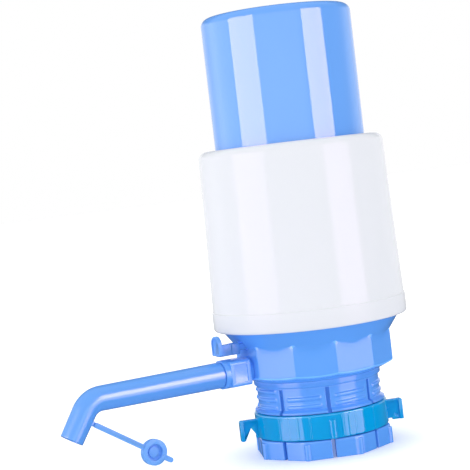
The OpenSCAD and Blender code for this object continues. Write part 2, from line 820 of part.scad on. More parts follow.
module base_screws() color("silver") {
    seat = low_ring_z + clamp_t;
    around(4, screw_turn) translate([screw_at, 0, 0])
        screw(seat, seat - (ledge_z - post_h + post_floor + screw_gap), false);
}

module return_spring() color("silver")
    coil(spring_r, spring_wire_r, low_lip_z, top_plate_z, spring_turns);

// ---- Sleeve and press cap ----

module outer_sleeve() color("white") {
    hole_r = cap_r + cap_play;
    side_slope = (sleeve_low_r - sleeve_top_r) / (sleeve_top - shoulder - band_top);
    crown_r = sleeve_top_r - side_slope * shoulder;
    rotate_extrude() difference() {
        polygon([[hole_r, sleeve_z], [band_r, sleeve_z], [band_r, band_top - 0.3],
            [sleeve_low_r, band_top], [crown_r, sleeve_top], [hole_r, sleeve_top]]);
        corner_sliver([band_r, sleeve_z], 90, 180, 2.5);
        corner_sliver([crown_r, sleeve_top], 180, 270 + atan(side_slope), shoulder);
        corner_sliver([hole_r, sleeve_top], 270, 360, 0.6);
        translate([0, band_top]) square([sleeve_in_r, sleeve_top - lip_t - band_top]);
        translate([0, sleeve_z - over])
            square([funnel_mouth_r + seat_play, band_h + over]);
    }
}

module press_cap() color(blue) {
    difference() {
        union() {
            rotate_extrude() difference() {
                translate([0, cap_low]) square([cap_r, cap_top - cap_low]);
                corner_sliver([cap_r, cap_top], 180, 270, cap_edge);
                difference() {
                    translate([0, cap_low - over])
                        square([cap_in_r, cap_top - cap_roof - cap_low + over]);
                    corner_sliver([cap_in_r, cap_top - cap_roof], 180, 270, cap_edge - cap_wall);
                }
            }
            washer(flange_r, cap_in_r, flange_z, flange_t);
            washer(cap_in_r - 6.4, cap_in_r - 7.8, boss_z, boss_h + eps);
            around(4) translate([cap_screw_at, 0, boss_z]) cylinder(r = cap_post_r, h = boss_h + eps);
        }
        around(4) translate([cap_screw_at, 0, boss_z - over])
            cylinder(r = screw_r + seat_play, h = boss_h + over);
    }
}

module bellows_top_plate() color("white") {
    difference() {
        union() {
            translate([0, 0, top_plate_z]) cylinder(r = top_plate_r, h = plate_t);
            washer(spring_seat_r, spring_seat_r - 1.6, top_plate_z - spring_seat_h, spring_seat_h + eps);
        }
        translate([0, 0, top_plate_z - over])
            cylinder(r = valve_stem_r + seat_play, h = plate_t + 2 * over);
        around(6) translate([deck_hole_at, 0, top_plate_z - over])
            cylinder(r = deck_hole_r, h = plate_t + 2 * over);
        around(4) translate([cap_screw_at, 0, top_plate_z - over])
            cylinder(r = screw_r + seat_play, h = plate_t + 2 * over);
    }
}

module bellows_top_ring() color("white") {
    difference() {
        washer(top_plate_r + 0.3, fold_in_r + bellows_wall + 0.3, top_ring_z, clamp_t);
        around(4) translate([cap_screw_at, 0, top_ring_z - over])
            cylinder(r = screw_r + seat_play, h = clamp_t + 2 * over);
    }
}

module cap_screws() color("silver") {
    around(4) translate([cap_screw_at, 0, 0])
        screw(top_ring_z, boss_z + boss_h - 2 * screw_gap - top_ring_z, true);
}

module intake_valve() color(rubber) umbrella_valve(valve_r, top_plate_z, plate_t);

// ---- Spout, socket and plug ----

module spout_socket() color(blue) {
    difference() {
        union() {
            rod_x(socket_neck_r, socket_in, block_in + 1);
            translate([-block_in, 0, spout_z]) rotate([90, 0, -90])
                linear_extrude(block_out - block_in)
                    round_rect(2 * block_half_w, 2 * block_half_h, block_round);
            rod_x(rim_r, block_out - rim_lap, rim_out - rim_chamfer);
            rod_x(rim_r, rim_out - rim_chamfer, rim_out, rim_r - rim_chamfer);
        }
        // framed panels on both sides
        for (side = [-1, 1])
            translate([panel_shift - (block_in + block_out) / 2, side * block_half_w, spout_z])
                rotate([90, 0, 0]) linear_extrude(2 * panel_depth, center = true)
                    round_rect(block_out - block_in - 2 * panel_edge,
                        2 * (block_half_h - panel_edge), panel_round);
        rod_x(channel_r, socket_in - over, socket_bore_in + over);
        rod_x(socket_bore_r, socket_bore_in, rim_out + over);
        rod_x(socket_bore_r + snap_out + seat_play, snap_at - snap_play, snap_at + snap_w + snap_play);
    }
}

// Places the children at the nozzle's tip: +Z up the nozzle, +X along the strap.
module at_nozzle() {
    translate([-bend_at, 0, spout_z - bend_r]) rotate([90, 0, 0]) rotate([0, 0, 90 + bend_a])
        translate([bend_r, nozzle_len, 0]) rotate([-90, 0, 180]) children();
}

// A bent round rod along the spout's centre line.
module spout_bend(r) {
    translate([-bend_at, 0, spout_z - bend_r]) rotate([90, 0, 0]) rotate([0, 0, 90])
        rotate_extrude(angle = bend_a) translate([bend_r, 0]) circle(r);
}

module spout_tube() color(blue) {
    difference() {
        union() {
            rod_x(spigot_r, spout_in, spout_face + eps);
            rod_x(spigot_r + snap_out, snap_at, snap_at + snap_w);
            rod_x(spout_root_r, spout_face, bend_at + bend_lap, spout_bend_r - bend_step);
            spout_bend(spout_bend_r);
            at_nozzle() cylinder(r1 = nozzle_tip_r, r2 = spout_bend_r - bend_step,
                h = nozzle_len + bend_lap);
            at_nozzle() translate([nozzle_wall - 1, -strap_t / 2, strap_up - strap_w / 2])
                cube([1 + lug_out, strap_t, strap_w]);
        }
        rod_x(channel_r, spout_in - over, spout_face + 1);
        rod_x(spout_bore_r - bend_step, spout_face + 1, bend_at + bend_lap);
        spout_bend(spout_bore_r);
        at_nozzle() translate([0, 0, -over]) cylinder(r = outlet_r, h = outlet_len + over);
        at_nozzle() cylinder(r = spout_bore_r - bend_step, h = nozzle_len + bend_lap);
        difference() {
            rod_x(spigot_r + over, oring_at - oring_groove_w / 2, oring_at + oring_groove_w / 2);
            rod_x(oring_groove_r, oring_at - over, oring_at + over);
        }
    }
}

module spout_oring() color(rubber) {
    translate([-oring_at, 0, spout_z]) rotate([0, -90, 0])
        rotate_extrude() translate([oring_groove_r + oring_r + 0.01, 0]) circle(oring_r, $fn = 32);
}

module tether_plug() color("lightskyblue") at_nozzle() translate([0, 0, strap_up]) {
    difference() {
        union() {
            translate([strap_root, 0, 0]) rotate([90, 0, 0])
                cylinder(r = strap_w / 2, h = strap_t, center = true);
            translate([strap_root, -strap_t / 2, -strap_w / 2])
                cube([plug_at - strap_root, strap_t, strap_w]);
            translate([plug_at, 0, 0]) rotate([90, 0, 0]) {
                cylinder(r = plug_r, h = plug_t, center = true);
                translate([0, 0, -plug_t / 2 - plug_boss_h])
                    cylinder(r = plug_boss_r, h = plug_boss_h + 0.5);
            }
            translate([plug_at, -strap_t / 2, -strap_w / 2])
                cube([plug_r + tab_past - strap_w / 2, strap_t, strap_w]);
            translate([plug_at + plug_r + tab_past - strap_w / 2, 0, 0]) rotate([90, 0, 0])
                cylinder(r = strap_w / 2, h = strap_t, center = true);
        }
        translate([plug_at, -plug_t / 2 - over, 0]) rotate([-90, 0, 0]) difference() {
            cylinder(r = plug_recess_r, h = plug_recess_h + over);
            translate([0, 0, plug_recess_h + over - 0.5]) cylinder(r = 2.6, h = over);
        }
    }
}

clamp_collar();
lock_ring();
neck_web();
neck_gasket();
water_elbow();
base_floor();
base_body();
spout_socket();
spout_tube();
spout_oring();
tether_plug();
release_lever();
lever_pin();
vent_valve();
vent_seal();
vent_retainer();
vent_spring();
outlet_valve();
outer_sleeve();
bellows();
bellows_base_plate();
bellows_base_ring();
base_screws();
return_spring();
press_cap();
bellows_top_plate();
bellows_top_ring();
cap_screws();
intake_valve();
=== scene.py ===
"""Press pump for a large water bottle: its finishes, its fine shapes, and a pale studio.

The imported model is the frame. Each class here stands for one sub-assembly. Its fields are
sizes in millimetres, as on a drawing, and its methods build meshes in metres in the frame's
own axes: +Z up the pump, -X along the spout, the origin under the middle of the feet.
"""

import json
import logging
import math
from dataclasses import dataclass
from enum import Enum
from typing import Iterable, Optional, Sequence

import bmesh
import bpy
from mathutils import Matrix, Vector


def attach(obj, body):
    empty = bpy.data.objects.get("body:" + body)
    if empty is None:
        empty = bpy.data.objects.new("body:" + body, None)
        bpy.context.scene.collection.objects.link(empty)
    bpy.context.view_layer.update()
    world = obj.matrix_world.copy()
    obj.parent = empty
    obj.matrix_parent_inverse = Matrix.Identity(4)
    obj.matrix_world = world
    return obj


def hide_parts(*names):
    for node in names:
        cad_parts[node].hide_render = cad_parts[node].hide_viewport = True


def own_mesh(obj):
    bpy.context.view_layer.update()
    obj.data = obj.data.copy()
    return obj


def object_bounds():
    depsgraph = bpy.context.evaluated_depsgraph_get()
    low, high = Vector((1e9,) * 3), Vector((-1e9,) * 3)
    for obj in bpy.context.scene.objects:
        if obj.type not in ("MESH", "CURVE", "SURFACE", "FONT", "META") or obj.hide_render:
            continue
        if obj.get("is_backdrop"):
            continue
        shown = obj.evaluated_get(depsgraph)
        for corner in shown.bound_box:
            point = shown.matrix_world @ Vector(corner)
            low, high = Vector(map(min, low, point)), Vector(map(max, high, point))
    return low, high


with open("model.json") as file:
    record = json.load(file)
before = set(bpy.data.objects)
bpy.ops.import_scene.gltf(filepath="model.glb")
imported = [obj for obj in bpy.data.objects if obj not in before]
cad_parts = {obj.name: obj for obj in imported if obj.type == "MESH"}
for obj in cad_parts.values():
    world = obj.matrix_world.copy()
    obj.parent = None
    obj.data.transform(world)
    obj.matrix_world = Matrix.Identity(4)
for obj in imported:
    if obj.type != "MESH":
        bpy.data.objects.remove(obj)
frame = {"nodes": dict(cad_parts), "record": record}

MM = 0.001
SHARP = math.radians(32)
JOINED_SHARP = math.radians(38)
SMOOTH = 256
FINE_STEP = 7.5
OVER = 1.0
ROUND_END = 0.98

Pair = tuple[float, float]
Triple = tuple[float, float, float]

log = logging.getLogger("pump")


class Slot(Enum):
    """The record's material slots."""

    BLUE = "blue_plastic"
    CYAN = "clear_cyan_plastic"
    SOFT_BLUE = "soft_blue_plastic"
    WHITE = "white_plastic"
    INNER = "inner_plastic"
    BELLOWS = "bellows_rubber"
    RUBBER = "seal_rubber"
    STEEL = "steel"


class Wing(Enum):
    """The two shapes of the lock ring's wings."""

    NOTCHED = "notched"
    PLAIN = "plain"


# ---- Curves and meshes ----


def blend_between(low: float, high: float, x: float) -> float:
    """A smooth step from 0 at low to 1 at high.

    Args:
        low: Where the step starts.
        high: Where it ends.
        x: The value to place on it.

    Returns:
        A share from 0 to 1.
    """
    t = min(1.0, max(0.0, (x - low) / (high - low)))
    return t * t * (3 - 2 * t)


def soft_max(a: float, b: float, k: float) -> float:
    """The larger of two lengths, with a fillet of about k where they meet.

    Args:
        a: First length.
        b: Second length.
        k: Size of the fillet.

    Returns:
        The blended length.
    """
    h = max(k - abs(a - b), 0.0) / k
    return max(a, b) + h * h * k / 4


def soft_min(a: float, b: float, k: float) -> float:
    """The smaller of two lengths, with a rounding of about k where they meet.

    Args:
        a: First length.
        b: Second length.
        k: Size of the rounding.

    Returns:
        The blended length.
    """
    return -soft_max(-a, -b, k)


def round_off(past: float, radius: float) -> float:
    """How far a rounded edge falls back, at a distance past the start of its rounding.

    Args:
        past: The distance, which may be below zero.
        radius: The edge's radius.

    Returns:
        The fall.
    """
    share = min(1.0, max(0.0, past) / radius)
    return radius * (1 - math.sqrt(1 - share * share))


def polar(r: float, turn: float, z: float) -> Triple:
    """The point at a radius, an angle in degrees and a height."""
    a = math.radians(turn)
    return r * math.cos(a), r * math.sin(a), z


def circle(r: float, count: int) -> list[Vector]:
    """Points spaced evenly round a flat circle."""
    turns = [2 * math.pi * k / count for k in range(count)]
    return [Vector((r * math.cos(a), r * math.sin(a), 0.0)) for a in turns]


def rounded(corners: Sequence[Triple], step: float = 11.25) -> list[Pair]:
    """A closed outline with its corners rounded.

    Args:
        corners: x, y and rounding radius of each corner, in order.
        step: Largest turn between two points of an arc, in degrees.

    Returns:
        The outline's points.
    """
    points: list[Pair] = []
    for i, (x, y, radius) in enumerate(corners):
        here = Vector((x, y))
        if radius <= 0:
            points.append((x, y))
            continue
        to_last = Vector(corners[i - 1][:2]) - here
        to_next = Vector(corners[(i + 1) % len(corners)][:2]) - here
        u, v = to_last.normalized(), to_next.normalized()
        half = u.angle(v) / 2
        reach = min(radius / math.tan(half), 0.49 * to_last.length, 0.49 * to_next.length)
        radius = reach * math.tan(half)
        centre = here + (u + v).normalized() * (radius / math.sin(half))
        start, end = here + u * reach - centre, here + v * reach - centre
        sweep = start.angle_signed(end)
        count = max(2, math.ceil(abs(math.degrees(sweep)) / step))
        for k in range(count + 1):
            turn = Matrix.Rotation(-sweep * k / count, 2)
            p = centre + turn @ start
            points.append((p.x, p.y))
    return points


def rectangle(low: Pair, high: Pair, radius: float = 0.0) -> list[Pair]:
    """The outline of a rectangle between two opposite corners, with its corners rounded."""
    return rounded([(low[0], low[1], radius), (high[0], low[1], radius), (high[0], high[1], radius),
                    (low[0], high[1], radius)])


def make_object(name: str, points: Iterable[Sequence[float]], faces: Iterable[Sequence[int]],
                merge: float = 1e-6) -> bpy.types.Object:
    """Makes a closed mesh object with outward normals and soft shading.

    Args:
        name: The object's name.
        points: Places of the vertices, in millimetres.
        faces: Vertex numbers of each face.
        merge: Vertices closer than this, in metres, become one.

    Returns:
        The new object, linked to the scene.
    """
    mesh = bpy.data.meshes.new(name)
    mesh.from_pydata([tuple(c * MM for c in p) for p in points], [], list(faces))
    work = bmesh.new()
    work.from_mesh(mesh)
    bmesh.ops.remove_doubles(work, verts=work.verts, dist=merge)
    bmesh.ops.dissolve_degenerate(work, edges=work.edges, dist=merge / 2)
    bmesh.ops.recalc_face_normals(work, faces=work.faces)
    work.to_mesh(mesh)
    work.free()
    thing = bpy.data.objects.new(name, mesh)
    bpy.context.scene.collection.objects.link(thing)
    shade(thing)
    return thing


def shade(thing: bpy.types.Object, angle: float = SHARP) -> None:
    """Shades a mesh smooth, with its sharp edges kept.

    Args:
        thing: The mesh object.
        angle: Edges that turn by more than this stay sharp, in radians.
    """
    thing.data.shade_smooth()
    thing.data.set_sharp_from_angle(angle=angle)


def loft(name: str, loops: Sequence[Sequence[Sequence[float]]], wrap: bool) -> bpy.types.Object:
    """Joins closed loops of points into one closed skin.

    Args:
        name: The object's name.
        loops: Closed loops with the same number of points, in order.
        wrap: True joins the last loop to the first; False closes both ends.

    Returns:
        The new object.
    """
    count = len(loops[0])
    points = [p for ring in loops for p in ring]
    faces: list[tuple[int, ...]] = []
    for i in range(len(loops) if wrap else len(loops) - 1):
        a, b = i * count, (i + 1) % len(loops) * count
        for k in range(count):
            m = (k + 1) % count
            faces.append((a + k, a + m, b + m, b + k))
    if not wrap:
        faces.append(tuple(range(count)))
        faces.append(tuple((len(loops) - 1) * count + k for k in range(count)))
    return make_object(name, points, faces)


def turned(name: str, outline: Sequence[Pair], count: int = 192) -> bpy.types.Object:
    """Turns a closed outline of radius and height round the pump's axis.

    Args:
        name: The object's name.
        outline: Radius and height of each point, in millimetres.
        count: Number of steps round the axis.

    Returns:
        The new object.
    """
    loops = [[polar(r, 360 * i / count, z) for r, z in outline] for i in range(count)]
    return loft(name, loops, wrap=True)


def prism(name: str, outline: Sequence[Pair], low: float, high: float,
          place: Matrix = Matrix.Identity(4)) -> bpy.types.Object:
    """A straight solid over a flat outline.

    Args:
        name: The object's name.
        outline: x and y of each point, in millimetres.
        low: Height of its lower face.
        high: Height of its upper face.
        place: Turns and moves the solid, with lengths in millimetres.

    Returns:
        The new object.
    """
    loops = [[place @ Vector((x, y, z)) for x, y in outline] for z in (low, high)]
    return loft(name, loops, wrap=False)


def rod(name: str, start: Triple, end: Triple, r_start: float, r_end: Optional[float] = None,
        count: int = 64) -> bpy.types.Object:
    """A round rod or cone between two points.

    Args:
        name: The object's name.
        start: One end's centre, in millimetres.
        end: The other end's centre.
        r_start: Radius at the start.
        r_end: Radius at the end, if it differs.
        count: Number of sides.

    Returns:
        The new object.
    """
    along = Vector(end) - Vector(start)
    turn = along.to_track_quat("Z", "Y").to_matrix().to_4x4()
    loops = []
    for centre, r in ((start, r_start), (end, r_start if r_end is None else r_end)):
        here = Matrix.Translation(centre) @ turn
        loops.append([here @ point for point in circle(r, count)])
    return loft(name, loops, wrap=False)


def block(name: str, low: Triple, high: Triple, place: Matrix = Matrix.Identity(4)) -> bpy.types.Object:
    """A box between two corners.

    Args:
        name: The object's name.
        low: Its lowest corner, in millimetres.
        high: Its highest corner.
        place: Turns and moves the box, with lengths in millimetres.

    Returns:
        The new object.
    """
    return prism(name, rectangle(low[:2], high[:2]), low[2], high[2], place)


def settle(thing: bpy.types.Object) -> bpy.types.Object:
    """Applies an object's modifiers to its mesh.

    Args:
        thing: The object.

    Returns:
        The same object.
    """
    graph = bpy.context.evaluated_depsgraph_get()
    mesh = bpy.data.meshes.new_from_object(thing.evaluated_get(graph))
    old = thing.data
    thing.modifiers.clear()
    thing.data = mesh
    bpy.data.meshes.remove(old)
    mesh.name = thing.name
    return thing


def combine(base: bpy.types.Object, tools: Sequence[bpy.types.Object], how: str) -> bpy.types.Object:
    """Adds solids to a solid, or cuts them out of it.

    Args:
        base: The solid that is changed.
        tools: The other solids, which are used up.
        how: UNION or DIFFERENCE.

    Returns:
        The changed solid.
    """
    for tool in tools:
        step = base.modifiers.new("cut", "BOOLEAN")
        step.operation = how
        step.solver = "EXACT"
        step.object = tool
    settle(base)
    for tool in tools:
        mesh = tool.data
        bpy.data.objects.remove(tool)
        bpy.data.meshes.remove(mesh)
    return base


def ease_edges(thing: bpy.types.Object, width: float, steps: int = 3, angle: float = 30.0) -> bpy.types.Object:
    """Rounds a solid's edges.

    Args:
        thing: The solid.
        width: Width of the rounding, in millimetres.
        steps: Number of faces across it.
        angle: Edges that turn by less, in degrees, are left.

    Returns:
        The same object.
    """
    work = bmesh.new()
    work.from_mesh(thing.data)
    bmesh.ops.remove_doubles(work, verts=work.verts, dist=2e-6)
    bmesh.ops.dissolve_limit(work, angle_limit=math.radians(0.5), verts=work.verts, edges=work.edges)
    work.to_mesh(thing.data)
    work.free()
    step = thing.modifiers.new("edges", "BEVEL")
    step.width = width * MM
    step.segments = steps
    step.limit_method = "ANGLE"
    step.angle_limit = math.radians(angle)
    step.use_clamp_overlap = True
    step.miter_outer = "MITER_ARC"
    settle(thing)
    shade(thing, JOINED_SHARP)
    return thing


def join(name: str, things: Sequence[bpy.types.Object]) -> bpy.types.Object:
    """Puts the meshes of several objects into one object.

    Args:
        name: Name of the joined object.
        things: The objects, which are used up.

    Returns:
        The joined object.
    """
    work = bmesh.new()
    for thing in things:
        work.from_mesh(thing.data)
    mesh = bpy.data.meshes.new(name)
    work.to_mesh(mesh)
    work.free()
    for thing in things:
        old = thing.data
        bpy.data.objects.remove(thing)
        bpy.data.meshes.remove(old)
    joined = bpy.data.objects.new(name, mesh)
    bpy.context.scene.collection.objects.link(joined)
    shade(joined, JOINED_SHARP)
    return joined


# ---- Finishes ----


def fill(node: bpy.types.Node, values: dict[str, object]) -> None:
    """Sets a node's input sockets by their names."""
    for label, value in values.items():
        node.inputs[label].default_value = value


class Nodes:
    """A short hand for building a node tree."""

    def __init__(self, tree: bpy.types.NodeTree) -> None:
        """Keeps the tree that is built."""
        self.tree = tree

    def add(self, kind: str, **values: object) -> bpy.types.Node:
        """Adds a node.

        Args:
            kind: The node's type.
            **values: Settings of the node, and input sockets by name with _ for a space.

        Returns:
            The new node.
        """
        node = self.tree.nodes.new(kind)
        for key, value in values.items():
            socket = node.inputs.get(key.replace("_", " "))
            if hasattr(node, key) and socket is None:
                setattr(node, key, value)
            else:
                socket.default_value = value
        return node

    def group(self, tree: bpy.types.NodeTree, values: dict[str, object]) -> bpy.types.Node:
        """Adds a shared group.

        Args:
            tree: The group.
            values: Its input sockets by name.

        Returns:
            The new node.
        """
        node = self.tree.nodes.new("ShaderNodeGroup")
        node.node_tree = tree
        fill(node, values)
        return node

    def link(self, source: bpy.types.NodeSocket, target: bpy.types.NodeSocket) -> None:
        """Joins an output socket to an input socket."""
        self.tree.links.new(source, target)

    def sum(self, how: str, a: object, b: object) -> bpy.types.NodeSocket:
        """A math node.

        Args:
            how: The operation.
            a: A socket or a number.
            b: A socket or a number.

        Returns:
            Its output socket.
        """
        node = self.tree.nodes.new("ShaderNodeMath")
        node.operation = how
        for socket, value in zip(node.inputs, (a, b)):
            if isinstance(value, bpy.types.NodeSocket):
                self.link(value, socket)
            else:
                socket.default_value = value
        return node.outputs[0]


def new_group(name: str, inputs: Sequence[tuple[str, str, object]],
              outputs: Sequence[tuple[str, str]]) -> tuple[Nodes, bpy.types.Node, bpy.types.Node]:
    """Starts a shader node group.

    Args:
        name: The group's name.
        inputs: Name, kind and default of each input.
        outputs: Name and kind of each output.

    Returns:
        Its node builder, its input node and its output node.
    """
    tree = bpy.data.node_groups.new(name, "ShaderNodeTree")
    for label, kind, default in inputs:
        socket = tree.interface.new_socket(label, in_out="INPUT", socket_type="NodeSocket" + kind)
        socket.default_value = default
    for label, kind in outputs:
        tree.interface.new_socket(label, in_out="OUTPUT", socket_type="NodeSocket" + kind)
    nodes = Nodes(tree)
    return nodes, nodes.add("NodeGroupInput"), nodes.add("NodeGroupOutput")


def moulded_skin_group() -> bpy.types.NodeTree:
    """The skin of a moulding: cloudy shade, drag lines along the pull, and a fine grain.

    Returns:
        The node group.
    """
    nodes, given, out = new_group(
        "moulded_skin",
        [("Colour", "Color", (0.5, 0.5, 0.5, 1)), ("Cloud", "Float", 0.04), ("Gloss", "Float", 0.1),
         ("Drag", "Float", 0.02), ("Grain", "Float", 0.02)],
        [("Colour", "Color"), ("Roughness", "Float"), ("Height", "Float")])
    place = nodes.add("ShaderNodeTexCoord").outputs["Object"]
    cloud = nodes.add("ShaderNodeTexNoise", Scale=38.0, Detail=3.0, Roughness=0.55)
    nodes.link(place, cloud.inputs["Vector"])
    stretch = nodes.add("ShaderNodeMapping", Scale=(620.0, 620.0, 9.0))
    nodes.link(place, stretch.inputs["Vector"])
    drag = nodes.add("ShaderNodeTexNoise", Scale=1.0, Detail=4.0, Roughness=0.6)
    nodes.link(stretch.outputs["Vector"], drag.inputs["Vector"])
    grain = nodes.add("ShaderNodeTexNoise", Scale=2600.0, Detail=2.0, Roughness=0.5)
    nodes.link(place, grain.inputs["Vector"])
    shift = nodes.sum("MULTIPLY", nodes.sum("SUBTRACT", cloud.outputs["Fac"], 0.5), given.outputs["Cloud"])
    value = nodes.sum("ADD", shift, 1.0)
    tint = nodes.add("ShaderNodeHueSaturation")
    nodes.link(given.outputs["Colour"], tint.inputs["Color"])
    nodes.link(value, tint.inputs["Value"])
    nodes.link(tint.outputs["Color"], out.inputs["Colour"])
    lines = nodes.sum("MULTIPLY", nodes.sum("SUBTRACT", drag.outputs["Fac"], 0.5), given.outputs["Drag"])
    rough = nodes.sum("ADD", nodes.sum("ADD", given.outputs["Gloss"], lines),
                      nodes.sum("MULTIPLY", shift, 0.3))
    nodes.link(rough, out.inputs["Roughness"])
    fine = nodes.sum("MULTIPLY", grain.outputs["Fac"], given.outputs["Grain"])
    nodes.link(nodes.sum("ADD", fine, lines), out.inputs["Height"])
    return nodes.tree


def painted_edge_light_group() -> bpy.types.NodeTree:
    """Paints a colour onto convex edges, found by pointiness: paler for a painted edge highlight, darker for painted
    edge shade.

    Returns:
        The node group.
    """
    nodes, given, out = new_group(
        "painted_edge_light",
        [("Colour", "Color", (0.5, 0.5, 0.5, 1)), ("Edge Colour", "Color", (1, 1, 1, 1)),
         ("Strength", "Float", 0.3)],
        [("Colour", "Color")])
    point = nodes.add("ShaderNodeNewGeometry").outputs["Pointiness"]
    ramp = nodes.add("ShaderNodeMapRange", From_Min=0.52, From_Max=0.62, To_Min=0.0, To_Max=1.0)
    nodes.link(point, ramp.inputs["Value"])
    share = nodes.sum("MULTIPLY", ramp.outputs["Result"], given.outputs["Strength"])
    mix = nodes.tree.nodes.new("ShaderNodeMix")
    mix.data_type = "RGBA"
    nodes.link(share, mix.inputs["Factor"])
    nodes.link(given.outputs["Colour"], mix.inputs[6])
    nodes.link(given.outputs["Edge Colour"], mix.inputs[7])
    nodes.link(mix.outputs[2], out.inputs["Colour"])
    return nodes.tree


def drawn_metal_group() -> bpy.types.NodeTree:
    """Drawn wire and rolled screws: fine lines and a few darker patches.

    Returns:
        The node group.
    """
    nodes, given, out = new_group(
        "drawn_metal",
        [("Colour", "Color", (0.6, 0.6, 0.6, 1)), ("Gloss", "Float", 0.3)],
        [("Colour", "Color"), ("Roughness", "Float"), ("Height", "Float")])
    place = nodes.add("ShaderNodeTexCoord").outputs["Object"]
    lines = nodes.add("ShaderNodeTexNoise", Scale=3200.0, Detail=4.0, Roughness=0.7)
    patch = nodes.add("ShaderNodeTexNoise", Scale=260.0, Detail=2.0, Roughness=0.5)
    for texture in (lines, patch):
        nodes.link(place, texture.inputs["Vector"])
    tint = nodes.add("ShaderNodeHueSaturation")
    nodes.link(given.outputs["Colour"], tint.inputs["Color"])
    nodes.link(nodes.sum("ADD", nodes.sum("MULTIPLY", patch.outputs["Fac"], 0.25), 0.87), tint.inputs["Value"])
    nodes.link(tint.outputs["Color"], out.inputs["Colour"])
    nodes.link(nodes.sum("ADD", given.outputs["Gloss"],
                         nodes.sum("MULTIPLY", lines.outputs["Fac"], 0.15)), out.inputs["Roughness"])
    nodes.link(lines.outputs["Fac"], out.inputs["Height"])
    return nodes.tree


class Finishes:
    """Builds the shared groups once, and each material from them."""

    def __init__(self) -> None:
        """Makes the shared groups."""
        self.skin = moulded_skin_group()
        self.edge_light_paint = painted_edge_light_group()
        self.metal = drawn_metal_group()
        self.made: dict[str, bpy.types.Material] = {}

    def start(self, name: str) -> tuple[bpy.types.Material, Nodes, bpy.types.Node]:
        """Starts a material.

        Args:
            name: The material's name.

        Returns:
            The material, its node builder and its shader.
        """
        material = bpy.data.materials.new(name)
        material.use_nodes = True
        nodes = Nodes(material.node_tree)
        return material, nodes, material.node_tree.nodes["Principled BSDF"]

    def of(self, finish: "Finish") -> bpy.types.Material:
        """The material of a finish, made once.

        Args:
            finish: The finish.

        Returns:
            Its material.
        """
        if finish.name not in self.made:
            self.made[finish.name] = finish.build(self)
        return self.made[finish.name]


@dataclass(frozen=True)
class Finish:
    """What every finish has."""

    name: str
    slot: Slot
    colour: Triple

    def build(self, kit: Finishes) -> bpy.types.Material:
        """Makes the material. Each kind of finish has its own way."""
        raise NotImplementedError

    def surface(self, nodes: Nodes, skin: bpy.types.Node, shader: bpy.types.Node, bump: float,
                depth: float) -> None:
        """Lets a group's roughness and height shape the shader's surface.

        Args:
            nodes: The material's node builder.
            skin: The group.
            shader: The shader.
            bump: Strength of the relief.
            depth: Its depth, in metres.
        """
        nodes.link(skin.outputs["Roughness"], shader.inputs["Roughness"])
        relief = nodes.add("ShaderNodeBump", Strength=bump, Distance=depth)
        nodes.link(skin.outputs["Height"], relief.inputs["Height"])
        nodes.link(relief.outputs["Normal"], shader.inputs["Normal"])


@dataclass(frozen=True)
class Moulded(Finish):
    """A moulded plastic or rubber."""

    gloss: float = 0.1
    specular: float = 0.5
    coat: float = 0.0
    cloud: float = 0.05
    drag: float = 0.03
    grain: float = 0.02
    bump: float = 0.02
    bump_depth: float = 0.0004
    coat_gloss: float = 0.03
    # Strength and colour of the light painted onto convex edges: a paler colour is a painted highlight, a darker one
    # is painted shade.
    edge_light_paint: float = 0.25
    edge: Triple = (0.4, 0.65, 0.98)
    clear: float = 0.0
    ior: float = 1.5
    inside: float = 0.0
    reach: Triple = (0.25, 0.55, 1.0)
    depth: float = 0.003
    # Emission that stands in for light passing through the plastic: painted light on a part that is no lamp.
    painted_inner_light: Triple = (0.0, 0.0, 0.0)

    def build(self, kit: Finishes) -> bpy.types.Material:
        """Makes the material.

        Args:
            kit: The shared groups.

        Returns:
            The material.
        """
        material, nodes, shader = kit.start(self.name)
        skin = nodes.group(kit.skin, {"Colour": (*self.colour, 1), "Cloud": self.cloud, "Gloss": self.gloss,
                                      "Drag": self.drag, "Grain": self.grain})
        # The edge group paints light onto convex edges: a painted highlight or painted shade, by its edge colour.
        edge_light_paint = nodes.group(kit.edge_light_paint, {"Edge Colour": (*self.edge, 1), "Strength": self.edge_light_paint})
        nodes.link(skin.outputs["Colour"], edge_light_paint.inputs["Colour"])
        nodes.link(edge_light_paint.outputs["Colour"], shader.inputs["Base Color"])
        self.surface(nodes, skin, shader, self.bump, self.bump_depth)
        # Emission Color carries the painted inner light, a glow painted into faces that lie in shade.
        fill(shader, {
            "Specular IOR Level": self.specular, "IOR": self.ior, "Coat Weight": self.coat,
            "Coat Roughness": self.coat_gloss, "Transmission Weight": self.clear,
            "Subsurface Weight": self.inside, "Subsurface Radius": self.reach, "Subsurface Scale": self.depth,
            "Emission Color": (*self.painted_inner_light, 1), "Emission Strength": 1.0 if any(self.painted_inner_light) else 0.0})
        return material


@dataclass(frozen=True)
class Metal(Finish):
    """Drawn or rolled steel."""

    gloss: float = 0.25
    bump: float = 0.05
    bump_depth: float = 0.0001

    def build(self, kit: Finishes) -> bpy.types.Material:
        """Makes the material.

        Args:
            kit: The shared groups.

        Returns:
            The material.
        """
        material, nodes, shader = kit.start(self.name)
        skin = nodes.group(kit.metal, {"Colour": (*self.colour, 1), "Gloss": self.gloss})
        nodes.link(skin.outputs["Colour"], shader.inputs["Base Color"])
        self.surface(nodes, skin, shader, self.bump, self.bump_depth)
        shader.inputs["Metallic"].default_value = 1.0
        return material


CAP_BLUE = Moulded("cap_blue", Slot.BLUE, (0.15, 0.4, 0.95), gloss=0.06, specular=0.5, drag=0.03, edge_light_paint=0.0)
# BODY_BLUE, SPOUT_BLUE and RING_CYAN paint a paler colour on their convex edges: a painted edge highlight.
BODY_BLUE = Moulded("body_blue", Slot.BLUE, (0.12, 0.39, 0.98), gloss=0.16, specular=0.5, edge_light_paint=0.3)
